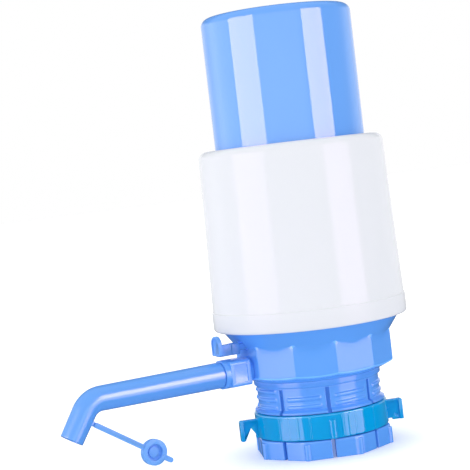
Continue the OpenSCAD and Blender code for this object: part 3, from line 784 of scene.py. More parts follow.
# A glowing copy of the body blue: its emission is painted light that lifts the shade on the fingers' inner faces and
# the base body.
EMISSIVE_INNER_BLUE = Moulded("emissive_inner_blue", Slot.BLUE, (0.12, 0.39, 0.98), gloss=0.3, specular=0.4, edge_light_paint=0.0,
                    painted_inner_light=(0.045, 0.115, 0.22))
SPOUT_BLUE = Moulded("spout_blue", Slot.BLUE, (0.11, 0.365, 0.93), gloss=0.24, specular=0.6, coat=0.35, drag=0.02,
                     edge_light_paint=0.3)
SLEEVE_WHITE = Moulded("sleeve_white", Slot.WHITE, (0.82, 0.845, 0.885), gloss=0.12, specular=0.08,
                       cloud=0.01, drag=0.015, edge_light_paint=0.0)
RING_CYAN = Moulded("ring_cyan", Slot.CYAN, (0.0, 0.43, 0.88), gloss=0.07, specular=0.3, coat=0.6, clear=0.15,
                    ior=1.4, cloud=0.2, edge_light_paint=0.5, edge=(0.05, 0.75, 0.95))
# PLUG_BLUE and LEVER_BLUE paint a darker colour on their convex edges: painted shade along their outlines.
PLUG_BLUE = Moulded("plug_blue", Slot.SOFT_BLUE, (0.17, 0.43, 0.95), gloss=0.3, specular=0.15, edge_light_paint=0.6,
                    edge=(0.12, 0.32, 0.7))
LEVER_BLUE = Moulded("lever_blue", Slot.SOFT_BLUE, (0.14, 0.39, 0.93), gloss=0.25, specular=0.2, edge_light_paint=0.75,
                     edge=(0.08, 0.24, 0.58))
INNER_WHITE = Moulded("inner_white", Slot.INNER, (0.8, 0.8, 0.79), gloss=0.4, specular=0.4, edge_light_paint=0.0, grain=0.05)
BELLOWS_GREY = Moulded("bellows_grey", Slot.BELLOWS, (0.5, 0.51, 0.53), gloss=0.55, specular=0.3, edge_light_paint=0.0,
                       grain=0.2, bump=0.1)
SEAL_WHITE = Moulded("seal_white", Slot.RUBBER, (0.7, 0.71, 0.7), gloss=0.55, specular=0.3, edge_light_paint=0.0,
                     grain=0.2, bump=0.1, inside=0.3)
STEEL = Metal("bright_steel", Slot.STEEL, (0.62, 0.62, 0.64))


def dress(thing: bpy.types.Object, finish: Finish, kit: Finishes) -> None:
    """Gives an object one finish.

    Args:
        thing: The object.
        finish: Its finish.
        kit: The shared groups.
    """
    material = kit.of(finish)
    if thing.material_slots:
        for place in thing.material_slots:
            place.material = material
    else:
        thing.data.materials.append(material)


def place_piece(thing: bpy.types.Object, body: str, finish: Finish, kit: Finishes,
                replaces: Optional[str] = None) -> None:
    """Dresses a piece, and ties it to its body and to the node that it stands for.

    Args:
        thing: The piece.
        body: The body that it moves with.
        finish: Its finish.
        kit: The shared groups.
        replaces: The node that it stands for, if any.
    """
    dress(thing, finish, kit)
    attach(thing, body)
    if replaces:
        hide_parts(replaces)
    log.info("%s: %d faces, rides on %s", thing.name, len(thing.data.polygons), body)


# ---- Sub-assemblies ----


@dataclass
class PressCap:
    """The cap that is pushed down, with its flange inside the sleeve."""

    r: float = 36.5
    wall: float = 2.2
    top: float = 214.0
    low: float = 129.2
    roof: float = 2.5
    edge: float = 4.0
    flange_r: float = 41.8
    flange_z: float = 142.9
    flange_t: float = 3.0
    screw_at: float = 31.2
    post_r: float = 2.9
    post_h: float = 3.0
    screws: int = 4
    ease: float = 0.4
    foot_ease: float = 0.5

    def build(self, kit: Finishes) -> None:
        """Builds the cap and its screw posts."""
        in_r = self.r - self.wall
        roof_z = self.top - self.roof
        flange_top = self.flange_z + self.flange_t
        outline = rounded([
            (0, self.top, 0), (self.r, self.top, self.edge), (self.r, flange_top, self.ease),
            (self.flange_r, flange_top, self.ease), (self.flange_r, self.flange_z, self.ease),
            (self.r, self.flange_z, self.ease), (self.r, self.low, self.foot_ease),
            (in_r, self.low, self.foot_ease), (in_r, roof_z, self.edge - self.wall), (0, roof_z, 0)], step=FINE_STEP)
        turns = [360 / self.screws * k for k in range(self.screws)]
        posts = [rod("post", polar(self.screw_at, turn, roof_z - self.post_h),
                     polar(self.screw_at, turn, roof_z + 0.5), self.post_r, count=32) for turn in turns]
        cap = join("press_cap_shell", [turned("cap", outline, SMOOTH), *posts])
        place_piece(cap, "cap", CAP_BLUE, kit, "press_cap")


@dataclass
class OuterSleeve:
    """The white sleeve that the cap slides in."""

    low: float = 62.7
    band_top: float = 72.0
    top: float = 150.2
    band_r: float = 47.29
    low_r: float = 46.8
    crown_r: float = 44.946
    shoulder: float = 6.5
    hole_r: float = 37.1
    in_r: float = 43.0
    mouth_r: float = 44.45
    lip: float = 4.0
    ease: float = 0.3
    foot_round: float = 2.4
    band_fall: float = 0.1
    band_ease: float = 0.25
    fillet: float = 0.2
    hole_round: float = 0.6
    lip_fillet: float = 0.5

    def build(self, kit: Finishes) -> None:
        """Builds the sleeve."""
        outline = rounded([
            (self.mouth_r, self.low, self.ease), (self.band_r, self.low, self.foot_round),
            (self.band_r, self.band_top - self.band_fall, self.band_ease),
            (self.low_r, self.band_top + 1.5 * self.band_fall, self.fillet), (self.crown_r, self.top, self.shoulder),
            (self.hole_r, self.top, self.hole_round), (self.hole_r, self.top - self.lip, self.ease),
            (self.in_r, self.top - self.lip, self.lip_fillet), (self.in_r, self.band_top, self.ease),
            (self.mouth_r, self.band_top, self.fillet)], step=FINE_STEP)
        place_piece(turned("sleeve_shell", outline, SMOOTH), "base", SLEEVE_WHITE, kit, "outer_sleeve")


@dataclass
class BaseHousing:
    """A thin skin over the base, with its facets' corners and its waist rounded."""

    flat: float = 37.3
    facets: int = 12
    corner: float = 1.4
    proud: float = 0.06
    depth: float = 0.6
    low: float = 37.0
    under_r: float = 31.1
    under_rise: float = 23.7
    lower_round: float = 2.2
    prism_top: float = 56.5
    funnel_gap: float = 0.4
    mouth_r: float = 44.4
    mouth_z: float = 64.0
    flare: float = 35.75
    flare_round: float = 8.0
    window: tuple[Triple, Triple] = ((-44.0, -2.42, 54.28), (-33.0, 2.42, 58.7))
    funnel_from: float = 3.5
    corner_drop: float = 0.8
    top_round: float = 0.7
    near_corner: tuple[float, ...] = (0, 2, 5, 8, 11, 12.6, 13.4, 14, 14.4, 14.75, 15.0)
    wall_heights: tuple[float, ...] = (41.8, 43.5, 46.0, 49.0, 52.0, 54.0, 55.0)

    def prism_radius(self, turn: float) -> float:
        """Radius of the collar's outline.

        Args:
            turn: Angle round the axis, in degrees.

        Returns:
            The radius in that direction.
        """
        part = 360 / self.facets
        from_corner = abs((turn % part) - part / 2)
        half = math.radians(part / 2)
        t = math.radians(from_corner)
        centre = (self.flat - self.corner) / math.cos(half)
        touch = math.atan2(self.corner * math.sin(half), centre + self.corner * math.cos(half))
        if t < touch:
            return centre * math.cos(t) + math.sqrt(self.corner ** 2 - (centre * math.sin(t)) ** 2)
        return self.flat / math.cos(half - t)

    def funnel_radius(self, z: float) -> float:
        """Radius of the turned funnel.

        Args:
            z: Height.

        Returns:
            The radius at that height.
        """
        inner = self.flat - self.funnel_gap
        slope = math.tan(math.radians(self.flare))
        waist = self.mouth_z - (self.mouth_r - inner) / slope
        reach = self.flare_round * math.tan(math.radians(self.flare) / 2)
        if z <= waist - reach:
            return inner
        if z < waist + reach * math.cos(math.radians(self.flare)):
            rise = z - (waist - reach)
            return inner + self.flare_round - math.sqrt(self.flare_round ** 2 - rise ** 2)
        return min(self.mouth_r, inner + (z - waist) * slope)

    def radius(self, turn: float, z: float) -> float:
        """Radius of the whole outside.

        Args:
            turn: Angle round the axis, in degrees.
            z: Height.

        Returns:
            The radius there.
        """
        under = self.under_r + (z - self.low) / math.tan(math.radians(self.under_rise))
        facets = soft_min(self.prism_radius(turn), under, self.lower_round)
        if z <= self.low + self.funnel_from:
            return facets
        top = self.prism_top - self.corner_drop * max(0.0, self.prism_radius(turn) - self.flat)
        funnel = self.funnel_radius(z)
        return max(funnel, min(facets, funnel + (facets - funnel) * blend_between(top, top - self.top_round, z)))

    def build(self, kit: Finishes) -> None:
        """Builds the skin as a shell, and cuts the lever's window."""
        part = 360 / self.facets
        turns = sorted({round(k * part + s * o, 4) for k in range(self.facets) for o in self.near_corner
                        for s in (-1, 1) if -part / 2 < s * o <= part / 2})
        heights = [self.low + 0.02 + 0.14 * k for k in range(30)] + list(self.wall_heights)
        heights += [55.3 + 0.15 * k for k in range(10)] + [57.0 + 0.4 * k for k in range(15)]
        loops = []
        for turn in turns:
            outer = [(self.radius(turn, z) + self.proud, z) for z in heights]
            inner = [(r - self.depth, z) for r, z in reversed(outer)]
            loops.append([polar(r, turn, z) for r, z in outer + inner])
        skin = loft("base_skin", loops, wrap=True)
        low, high = self.window
        combine(skin, [block("window", low, high)], "DIFFERENCE")
        shade(skin, math.radians(24))
        place_piece(skin, "base", BODY_BLUE, kit)


@dataclass
class ClampCollar:
    """The threaded neck with its eight fingers, its feet and the band over its slots."""

    grip_r: float = 28.0
    grip_top: float = 30.0
    relief_r: float = 28.5
    finger_r: float = 29.8
    fingers: int = 8
    slot: float = 1.8
    slot_top: float = 33.5
    foot_h: float = 8.9
    foot_flat: float = 31.6
    foot_corner: float = 33.2
    rib_r: float = 1.5
    rib_at: float = 32.9
    rib_h: float = 7.7
    foot_round: float = 0.7
    rib_round: float = 0.4
    foot_ease: float = 0.25
    bead_z: float = 21.5
    bead_h: float = 1.1
    bead_out: float = 2.0
    pitch: float = 3.9
    thread_from: float = 24.4
    thread_out: float = 0.7
    thread_foot: float = 2.6
    thread_crest: float = 0.8
    thread_half: float = 16.0
    edge: float = 0.35
    web_z: float = 37.0
    web_t: float = 1.9
    lip_r: float = 31.0
    lip_h: float = 2.7
    plug_r: float = 30.0
    plug_h: float = 2.3
    ledge: float = 0.6
    fillet: float = 0.25
    mouth_ease: float = 0.4
    foot_heights: tuple[float, ...] = (0, 0.06, 0.15, 0.25, 0.5, 3.5, 6.8, 7.3, 7.45, 7.6, 7.7, 7.71, 8.2, 8.4,
                                       8.6, 8.75, 8.85, 8.9, 8.901)
    neck_heights: tuple[float, ...] = (12.0, 16.0, 21.3, 21.499)

    def foot_radius(self, off: float, z: float) -> float:
        """Outside of a foot, with its corner, rib and rounded top.

        Args:
            off: Angle from the finger's middle, in degrees.
            z: Height.

        Returns:
            The radius there, or 0 above the foot.
        """
        if z > self.foot_h:
            return 0.0
        t = math.radians(abs(off))
        flat = self.foot_flat / math.cos(math.pi / self.fingers - t)
        flat = soft_min(flat, self.foot_corner, self.fillet)
        flat -= round_off(z - (self.foot_h - self.foot_round), self.foot_round)
        across = self.rib_at * math.sin(t)
        if across < self.rib_r and z < self.rib_h:
            rib = self.rib_at * math.cos(t) + math.sqrt(self.rib_r ** 2 - across ** 2)
            rib -= round_off(z - self.rib_h + self.rib_round, self.rib_round)
            flat = soft_max(flat, rib, 0.2)
        return flat - round_off(self.foot_ease - z, self.foot_ease)

    def thread_height(self, finger: int, off: float, z: float) -> float:
        """Height of the thread over the finger's wall.

        Args:
            finger: Number of the finger, from the one on the spout's side.
            off: Angle from the finger's middle, in degrees.
            z: Height.

        Returns:
            How far the ridge stands out there.
        """
        low = self.bead_z + self.bead_h + self.thread_foot / 2
        high = self.slot_top - self.thread_foot / 2
        best = 0.0
        for turn in range(-1, 4):
            middle = self.thread_from + self.pitch * (turn + finger / self.fingers)
            if not low < middle < high:
                continue
            away = abs(z - middle - self.pitch * off / 360)
            rise = 1 - blend_between(self.thread_crest / 2 - 0.1, self.thread_foot / 2, away)
            best = max(best, self.thread_out * rise)
        ends = 1 - blend_between(self.thread_half - 0.7, self.thread_half + 0.3, abs(off))
        return best * ends

    def outside(self, finger: int, off: float, z: float) -> float:
        """Radius of a finger's outside.

        Args:
            finger: Number of the finger.
            off: Angle from the finger's middle, in degrees.
            z: Height.

        Returns:
            The radius there.
        """
        r = self.finger_r + self.thread_height(finger, off, z)
        up = z - self.bead_z
        if 0 <= up < 2 * self.bead_h:
            share = min(1.0, 2 - up / self.bead_h)
            bead = self.bead_out * min(share, blend_between(-0.15, 0.25, up))
            r = soft_max(r, self.finger_r + bead, 0.3)
        return max(r, self.foot_radius(off, z))

    def section(self, finger: int, z: float) -> list[Triple]:
        """The loop round one finger at one height.

        Args:
            finger: Number of the finger.
            z: Height.

        Returns:
            Its points.
        """
        half = 180 / self.fingers
        ease = self.edge
        inner = self.grip_r if z < self.grip_top else self.relief_r
        inner += self.mouth_ease * max(0.0, 1 - z / self.mouth_ease)
        count = 44

        def limit(r: float) -> float:
            """Angle from the middle to the slot's wall at a radius."""
            return half - math.degrees(math.asin(self.slot / 2 / r))

        def corner(side: int, r: float, outward: bool) -> list[Pair]:
            """A rounded corner at a radius, as radius and angle."""
            base = r - ease if outward else r + ease
            at = limit(base) - math.degrees(ease / base)
            turns = (0, 30, 60, 90) if outward else (90, 60, 30, 0)
            sign = 1 if outward else -1
            return [(base + sign * ease * math.cos(math.radians(t)),
                     side * (at + math.degrees(ease * math.sin(math.radians(t)) / base))) for t in turns]

        edge_r = self.outside(finger, half - 2, z)
        reach = limit(edge_r) - math.degrees(2 * ease / edge_r)
        outline = [(self.outside(finger, o, z), o)
                   for o in (-reach + 2 * reach * k / count for k in range(count + 1))]
        outline += corner(1, edge_r, True) + corner(1, inner, False)
        reach = limit(inner) - math.degrees(2 * ease / inner)
        outline += [(inner, reach - 2 * reach * k / 10) for k in range(11)]
        outline += list(reversed(corner(-1, inner, False))) + list(reversed(corner(-1, edge_r, True)))
        middle = 180 + finger * 360 / self.fingers
        return [polar(r, middle + o, z) for r, o in outline]

    def heights(self) -> list[float]:
        """Heights at which the fingers are measured."""
        steps = 56
        thread = [self.bead_z + (self.slot_top - self.bead_z) * k / steps for k in range(steps + 1)]
        return [*self.foot_heights, *self.neck_heights, *thread]

    def band(self) -> bpy.types.Object:
        """The band over the slots, with its lip and the ledge that holds the web down."""
        top = self.web_z + self.web_t
        return turned("band", rounded([
            (self.relief_r, self.slot_top, 0.1), (self.finger_r, self.slot_top, 0),
            (self.finger_r, self.web_z - self.lip_h, 0.25), (self.lip_r, self.web_z - self.lip_h, 0.7),
            (self.lip_r, self.web_z, 0.1), (self.plug_r, self.web_z, 0), (self.plug_r, self.web_z + self.plug_h, 0.3),
            (self.relief_r - self.ledge, self.web_z + self.plug_h, 0.1), (self.relief_r - self.ledge, top, 0),
            (self.relief_r, top, 0)]), 192)

    def build(self, kit: Finishes) -> None:
        """Builds the collar as one piece."""
        parts = [loft("finger", [self.section(f, z) for z in self.heights()], wrap=False)
                 for f in range(self.fingers)]
        collar = join("clamp_collar_shell", [*parts, self.band()])
        place_piece(collar, "base", BODY_BLUE, kit, "clamp_collar")
        # The fingers' inner faces take the glowing copy: painted light where the inside lies in shade.
        collar.data.materials.append(kit.of(EMISSIVE_INNER_BLUE))
        for face in collar.data.polygons:
            x, y, z = face.center
            outward = (face.normal.x * x + face.normal.y * y) / math.hypot(x, y)
            if outward < -0.8 and z < self.slot_top * MM and math.hypot(x, y) > (self.grip_r - 1) * MM:
                face.material_index = 1


@dataclass
class LockRing:
    """The clear ring that squeezes the fingers, with ribs, its inner thread and two wings."""

    low: float = 9.2
    height: float = 12.0
    in_r: float = 30.1
    wall: float = 2.4
    pitch: float = 3.9
    groove: float = 0.55
    rib_out: float = 1.1
    rib_half: float = 1.6
    line_out: float = 0.32
    line_half: float = 0.35
    ribs: tuple[float, ...] = (248.4, 68.4)
    lines: tuple[float, ...] = (199.5, 210.4, 218.3, 229.5, 256.5, 263.0, 268.9, 277.1, 289.6)
    wing_at: float = 161.5
    tip_r: float = 41.0
    clear_r: float = 35.6
    rib_h: float = 9.3
    edge: float = 0.6
    wing_drop: float = 0.9
    web_half: float = 0.8
    flange_half: float = 1.4
    flange_t: float = 1.2
    rim_half: float = 1.8
    tip_round: float = 2.0
    foot_ease: float = 0.4
    buried: float = 0.9
    notch_w: float = 2.2
    dimple_in: float = 3.4
    dimple_up: float = 2.6
    wing_ease: float = 0.25

    def relief(self, turn: float, z: float) -> float:
        """How far the ribs and lines stand out of the wall.

        Args:
            turn: Angle round the axis, in degrees.
            z: Height above the ring's lower edge.

        Returns:
            The rise there.
        """
        out_r = self.in_r + self.wall
        best = 0.0
        for at in self.ribs:
            away = abs((turn - at + 180) % 360 - 180) * math.pi / 180 * out_r
            if away < self.rib_half and z < self.rib_h:
                side = math.sqrt(1 - (away / self.rib_half) ** 2)
                best = max(best, self.rib_out * side * blend_between(self.rib_h, self.rib_h - 0.5, z))
        for at in self.lines:
            away = abs((turn - at + 90) % 180 - 90) * math.pi / 180 * out_r
            ends = blend_between(0.6, 0.9, z) * blend_between(self.height - 0.8, self.height - 1.1, z)
            best = max(best, self.line_out * ends * blend_between(self.line_half + 0.12, self.line_half - 0.12, away))
        return best

    def turns(self) -> list[float]:
        """Angles at which the ring is measured, closer together at its ribs."""
        at = {round(k * 1.5, 3) for k in range(240)}
        lines = [middle + half for middle in self.lines for half in (0, 180)]
        for middles, offsets in ((lines, (0.42, 0.6, 0.78, 0.9)), (self.ribs, (0, 1, 2, 2.4, 2.7, 2.8, 2.85))):
            at |= {round((middle + side * o) % 360, 3) for middle in middles for o in offsets for side in (-1, 1)}
        return sorted(at)

    def band(self) -> bpy.types.Object:
        """The ring itself."""
        out_r = self.in_r + self.wall
        steps = 40
        loops = []
        for turn in self.turns():
            loop = []
            for k in range(steps + 1):
                z = self.height * k / steps
                ease = round_off(self.edge - min(z, self.height - z), self.edge)
                loop.append((out_r - ease + self.relief(turn, z), z))
            for k in range(steps, -1, -1):
                z = self.height * k / steps
                wave = 0.5 - 0.5 * math.cos(2 * math.pi * (z / self.pitch - turn / 360))
                fade = min(1.0, z / 0.8, (self.height - z) / 0.8)
                loop.append((self.in_r + self.groove * wave ** 2 * fade, z))
            loops.append([polar(r, turn, self.low + z) for r, z in loop])
        return loft("band", loops, wrap=True)

    def wing(self, kind: Wing, turn: float) -> bpy.types.Object:
        """One wing.

        Args:
            kind: Its shape.
            turn: Its direction, in degrees.

        Returns:
            The wing.
        """
        inner = self.in_r + self.wall - self.buried
        low, high = self.low - self.wing_drop, self.low + self.rib_h
        rim = self.tip_r - self.rim_half
        tip = (self.tip_r, high, self.tip_round)
        toe = (self.tip_r, low, self.foot_ease)
        place = Matrix(((1, 0, 0, 0), (0, 0, -1, 0), (0, 1, 0, 0), (0, 0, 0, 1)))
        under = high - self.flange_t
        web = prism("web", rounded([(inner, high, 0), tip, toe, (self.clear_r, low, 0.3),
                                    (self.clear_r, self.low, 0.2), (inner, self.low, 0)]),
                    -self.web_half, self.web_half, place)
        flange = prism("flange", rounded([(inner, high, 0), tip, (self.tip_r, under - 1.0, 0),
                                          (self.tip_r - self.flange_t, under, 0), (inner, under, 0)]),
                       -self.flange_half, self.flange_half, place)
        edge = prism("rim", rounded([(rim, high, 0), tip, toe, (rim, low, self.foot_ease)]),
                     -self.rim_half, self.rim_half, place)
        solid = combine(web, [flange, edge], "UNION")
        if kind is Wing.NOTCHED:
            start, end = rim - self.foot_ease, self.clear_r - self.notch_w
            cut = prism("notch", [(start, low - OVER), (start, low), (self.clear_r, low + 6), (end, low + 2.9),
                                  (end, low - OVER)], -3, 3, place)
            combine(solid, [cut], "DIFFERENCE")
        else:
            x, y = self.tip_r - self.dimple_in, low + self.dimple_up
            dimple = rod("dimple", tuple(place @ Vector((x, y, 0.45))), tuple(place @ Vector((x, y, 1.2))),
                         0.7, 1.0, 24)
            combine(solid, [dimple], "DIFFERENCE")
        ease_edges(solid, self.wing_ease)
        solid.data.transform(Matrix.Rotation(math.radians(turn), 4, "Z"))
        return solid

    def build(self, kit: Finishes) -> None:
        """Builds the ring with its wings."""
        wings = [self.wing(Wing.NOTCHED, self.wing_at), self.wing(Wing.PLAIN, self.wing_at + 180)]
        ring = join("lock_ring_band", [self.band(), *wings])
        place_piece(ring, "ring", RING_CYAN, kit, "lock_ring")


@dataclass
class SpoutSocket:
    """The block with the round rim that the spout turns in."""

    z: float = 44.3
    start: float = 37.3
    neck_r: float = 6.2
    block_in: float = 39.5
    block_out: float = 50.0
    half_w: float = 7.0
    half_h: float = 6.1
    corner: float = 1.2
    rim_r: float = 6.9
    rim_out: float = 52.5
    channel_r: float = 3.0
    bore_r: float = 5.25
    bore_in: float = 40.5
    panel_edge: float = 1.9
    panel_depth: float = 0.5
    panel_corner: float = 0.6
    ease: float = 0.3

    def along(self, name: str, r: float, start: float, end: float, r_end: Optional[float] = None,
              count: int = 72) -> bpy.types.Object:
        """A rod along the spout's axis between two distances from the pump's axis."""
        return rod(name, (-start, 0, self.z), (-end, 0, self.z), r, r_end, count)

    def build(self, kit: Finishes) -> None:
        """Builds the socket."""
        w, h = self.half_w, self.half_h
        facing = Matrix.Translation((0, 0, self.z)) @ Matrix.Rotation(math.radians(-90), 4, "Y")
        body = prism("block", rectangle((-h, -w), (h, w), self.corner), self.block_in, self.block_out, facing)
        combine(body, [self.along("neck", self.neck_r - 0.15, self.start + 0.1, self.block_in + OVER),
                       self.along("rim", self.rim_r, self.block_out - 3, self.rim_out)], "UNION")
        cuts = [self.along("channel", self.channel_r, self.start - OVER, self.bore_in + OVER),
                self.along("bore", self.bore_r, self.bore_in, self.rim_out + OVER)]
        edge = self.panel_edge
        panel = rectangle((-self.block_out + edge, self.z - h + edge), (-self.block_in - edge, self.z + h - edge),
                          self.panel_corner)
        upright = Matrix.Rotation(math.radians(90), 4, "X")
        for side in (-1, 1):
            depth = sorted((side * (w - self.panel_depth), side * (w + OVER)))
            cuts.append(prism("panel", panel, -depth[1], -depth[0], upright))
        combine(body, cuts, "DIFFERENCE")
        ease_edges(body, self.ease)
        body.name = "spout_socket_block"
        place_piece(body, "base", BODY_BLUE, kit, "spout_socket")


@dataclass
class Spout:
    """The bent spout, with the lug that carries the plug's strap."""

    z: float = 44.3
    start: float = 41.0
    face: float = 52.8
    bend_at: float = 114.5
    bend_r: float = 10.5
    bend_a: float = 56.8
    nozzle: float = 14.1
    root_r: float = 6.2
    bend_out_r: float = 5.8
    tip_r: float = 5.45
    bore: float = 3.4
    outlet: float = 4.0
    outlet_len: float = 12.0
    channel: float = 3.0
    spigot_r: float = 5.2
    strap_up: float = 10.9
    strap_t: float = 1.8
    strap_w: float = 2.4
    lug_out: float = 0.9
    bead: Pair = (43.0, 44.3)
    bead_out: float = 0.3
    bead_slope: float = 0.2
    ease: float = 0.3
    ring_seat: Pair = (46.8, 48.2)
    ring_seat_r: float = 4.3

    def arc(self) -> float:
        """Length of the bend along the centre line."""
        return self.bend_r * math.radians(self.bend_a)

    def strap_wall(self) -> float:
        """Radius of the nozzle's wall where the strap leaves it."""
        return self.tip_r + (self.bend_out_r - self.tip_r) * self.strap_up / self.nozzle

    def along(self, s: float) -> Matrix:
        """The frame on the spout's centre line: +Z runs along it.

        Args:
            s: Distance along the line from the pump's axis.

        Returns:
            The frame, in millimetres.
        """
        turned_by = min(max((s - self.bend_at) / self.bend_r, 0.0), math.radians(self.bend_a))
        x = -min(s, self.bend_at) - self.bend_r * math.sin(turned_by)
        z = self.z - self.bend_r * (1 - math.cos(turned_by))
        past = max(0.0, s - self.bend_at - self.arc())
        x -= past * math.cos(turned_by)
        z -= past * math.sin(turned_by)
        return Matrix.Translation((x, 0, z)) @ Matrix.Rotation(-math.pi / 2 - turned_by, 4, "Y")

    def at_nozzle(self) -> Matrix:
        """The frame at the nozzle's tip: +Z up the nozzle, +X along the strap."""
        return self.along(self.bend_at + self.arc() + self.nozzle) @ Matrix.Rotation(math.pi, 4, "Y")

    def outline(self) -> list[Pair]:
        """Distance along the centre line and radius, round the tube's wall."""
        tip = self.bend_at + self.arc() + self.nozzle
        bead_r = self.spigot_r + self.bead_out
        bead_in, bead_out = self.bead
        seat_in, seat_out = self.ring_seat
        outer = rounded([
            (self.start, self.spigot_r, self.ease), (bead_in, self.spigot_r, 0),
            (bead_in + self.bead_slope, bead_r, 0), (bead_out - self.bead_slope, bead_r, 0),
            (bead_out, self.spigot_r, 0), (seat_in, self.spigot_r, 0),
            (seat_in, self.ring_seat_r, 0), (seat_out, self.ring_seat_r, 0), (seat_out, self.spigot_r, 0),
            (self.face, self.spigot_r, 0), (self.face, self.root_r, 0.35),
            (self.bend_at - 1, self.bend_out_r + 0.01, 0), (tip, self.tip_r, 0.25), (tip, self.outlet, 0.35),
            (tip - self.outlet_len, self.outlet, 0), (tip - self.outlet_len, self.bore, 0),
            (self.face + 1, self.bore, 0), (self.face + 1, self.channel, 0), (self.start, self.channel, 0.2)])
        fine: list[Pair] = []
        for (s0, r0), (s1, r1) in zip(outer, outer[1:] + outer[:1]):
            fine.append((s0, r0))
            if abs(s1 - s0) < 3:
                continue
            for k in range(1, 40):
                s = s0 + (s1 - s0) * k / 40
                share = (min(s, self.bend_at) - s0) / (self.bend_at - s0) if s1 > s0 else 0.0
                fine.append((s, r0 + (r1 - r0) * k / 40 if s1 < s0 or s0 >= self.bend_at - 2 else
                             r0 + (r1 - r0) * min(1.0, share)))
        return fine

    def build(self, kit: Finishes) -> None:
        """Builds the spout."""
        loops = []
        for s, r in self.outline():
            here = self.along(s)
            loops.append([here @ point for point in circle(r, 72)])
        tube = loft("tube", loops, wrap=True)
        shade(tube, math.radians(40))
        wall = self.strap_wall()
        lug = block("lug", (wall - 1, -self.strap_t / 2, self.strap_up - self.strap_w / 2),
                    (wall + self.lug_out, self.strap_t / 2, self.strap_up + self.strap_w / 2), self.at_nozzle())
        spout = join("spout_pipe", [tube, ease_edges(lug, self.ease)])
        place_piece(spout, "spout", SPOUT_BLUE, kit, "spout_tube")


@dataclass
class TetherPlug:
    """The plug on its strap, with a recess and a pull tab."""

    spout: Spout
    length: float = 34.4
    root_gap: float = 0.3
    r: float = 6.1
    t: float = 3.0
    boss_r: float = 3.95
    boss_h: float = 4.0
    recess_r: float = 3.9
    recess_h: float = 2.0
    centre_r: float = 2.6
    centre_h: float = 0.5
    tab_past: float = 4.4
    ease: float = 0.35

    def build(self, kit: Finishes) -> None:
        """Builds the strap, the plug and the tab as one solid."""
        s = self.spout
        up, half_t, half_w = s.strap_up, s.strap_t / 2, s.strap_w / 2
        wall = s.strap_wall()
        root = wall + s.lug_out + self.root_gap + half_w
        middle = wall + self.length
        tab_end = middle + self.r + self.tab_past
        place = s.at_nozzle() @ Matrix.Translation((0, 0, up)) @ Matrix.Rotation(math.radians(90), 4, "X")
        strap = prism("strap", rectangle((root - half_w, -half_w), (tab_end, half_w), half_w * ROUND_END),
                      -half_t, half_t, place)

        def disc(name: str, r: float, low: float, high: float) -> bpy.types.Object:
            """A disc round the plug's axis."""
            return rod(name, tuple(place @ Vector((middle, 0, low))), tuple(place @ Vector((middle, 0, high))), r)

        face = self.t / 2
        floor = face - self.recess_h
        combine(strap, [disc("flange", self.r, -face, face),
                        disc("boss", self.boss_r, -face - self.boss_h, 0)], "UNION")
        combine(strap, [disc("recess", self.recess_r, floor, face + OVER)], "DIFFERENCE")
        combine(strap, [disc("centre", self.centre_r, floor - 0.1, floor + self.centre_h)], "UNION")
        ease_edges(strap, self.ease)
        strap.name = "plug_on_strap"
        place_piece(strap, "plug", PLUG_BLUE, kit, "tether_plug")


@dataclass
class ReleaseLever:
    """The small lever over the spout that lets the air out."""

    pivot: Pair = (-32.0, 56.2)
    hub_r: float = 2.0
    pin_r: float = 1.03
    bar_w: float = 5.0
    bar_h: float = 5.2
    bar_in: float = 41.8
    step_at: float = 46.0
    pad_at: float = 53.5
    pad_w: float = 8.0
    pad_h: float = 9.3
    pad_t: float = 1.65
    pad_rim: float = 0.9
    dish: float = 0.45
    arm_half: float = 1.5
    arm_ease: float = 0.3
    finger_z: float = 56.5
    finger_t: float = 2.2
    finger_to: float = 22.1
    bar_drop: float = 3.2
    ease: float = 0.28

    def pad_outline(self, inset: float) -> list[Pair]:
        """The pad's outline: straight below, round above.

        Args:
            inset: Distance inside the pad's edge.

        Returns:
            Its points.
        """
        r = self.pad_w / 2 - inset
        return rounded([(-r, inset, 0.5), (r, inset, 0.5), (r, self.pad_h - inset, r * ROUND_END),
                        (-r, self.pad_h - inset, r * ROUND_END)])

    def build(self, kit: Finishes) -> None:
        """Builds the lever as one solid."""
        x, z = self.pivot
        low = z - self.bar_drop
        arm = (self.bar_w - 1) / 2
        half = self.bar_w / 2
        body = block("bar", (-self.step_at, -half, low), (-self.bar_in, half, low + self.bar_h))
        pad_place = Matrix.Translation((-self.pad_at, 0, low + 0.5)) @ Matrix(
            ((0, 0, 1, 0), (1, 0, 0, 0), (0, 1, 0, 0), (0, 0, 0, 1)))
        arm_top = z + self.arm_half - self.arm_ease
        combine(body, [
            block("narrow", (-self.pad_at + OVER, -arm, low), (-self.step_at + 0.5, arm, low + self.bar_h)),
            block("arm", (-self.bar_in - 0.5, -arm, z - self.arm_half), (x, arm, arm_top)),
            block("finger", (x, -arm, self.finger_z), (-self.finger_to, arm, self.finger_z + self.finger_t)),
            rod("hub", (x, -half, z), (x, half, z), self.hub_r, count=48),
            prism("pad", self.pad_outline(0), 0, self.pad_t, pad_place)], "UNION")
        combine(body, [
            prism("dish", self.pad_outline(self.pad_rim), -OVER, self.dish, pad_place),
            rod("pin_hole", (x, -10, z), (x, 10, z), self.pin_r, count=40)], "DIFFERENCE")
        ease_edges(body, self.ease)
        body.name = "lever_body"
        place_piece(body, "lever", LEVER_BLUE, kit, "release_lever")


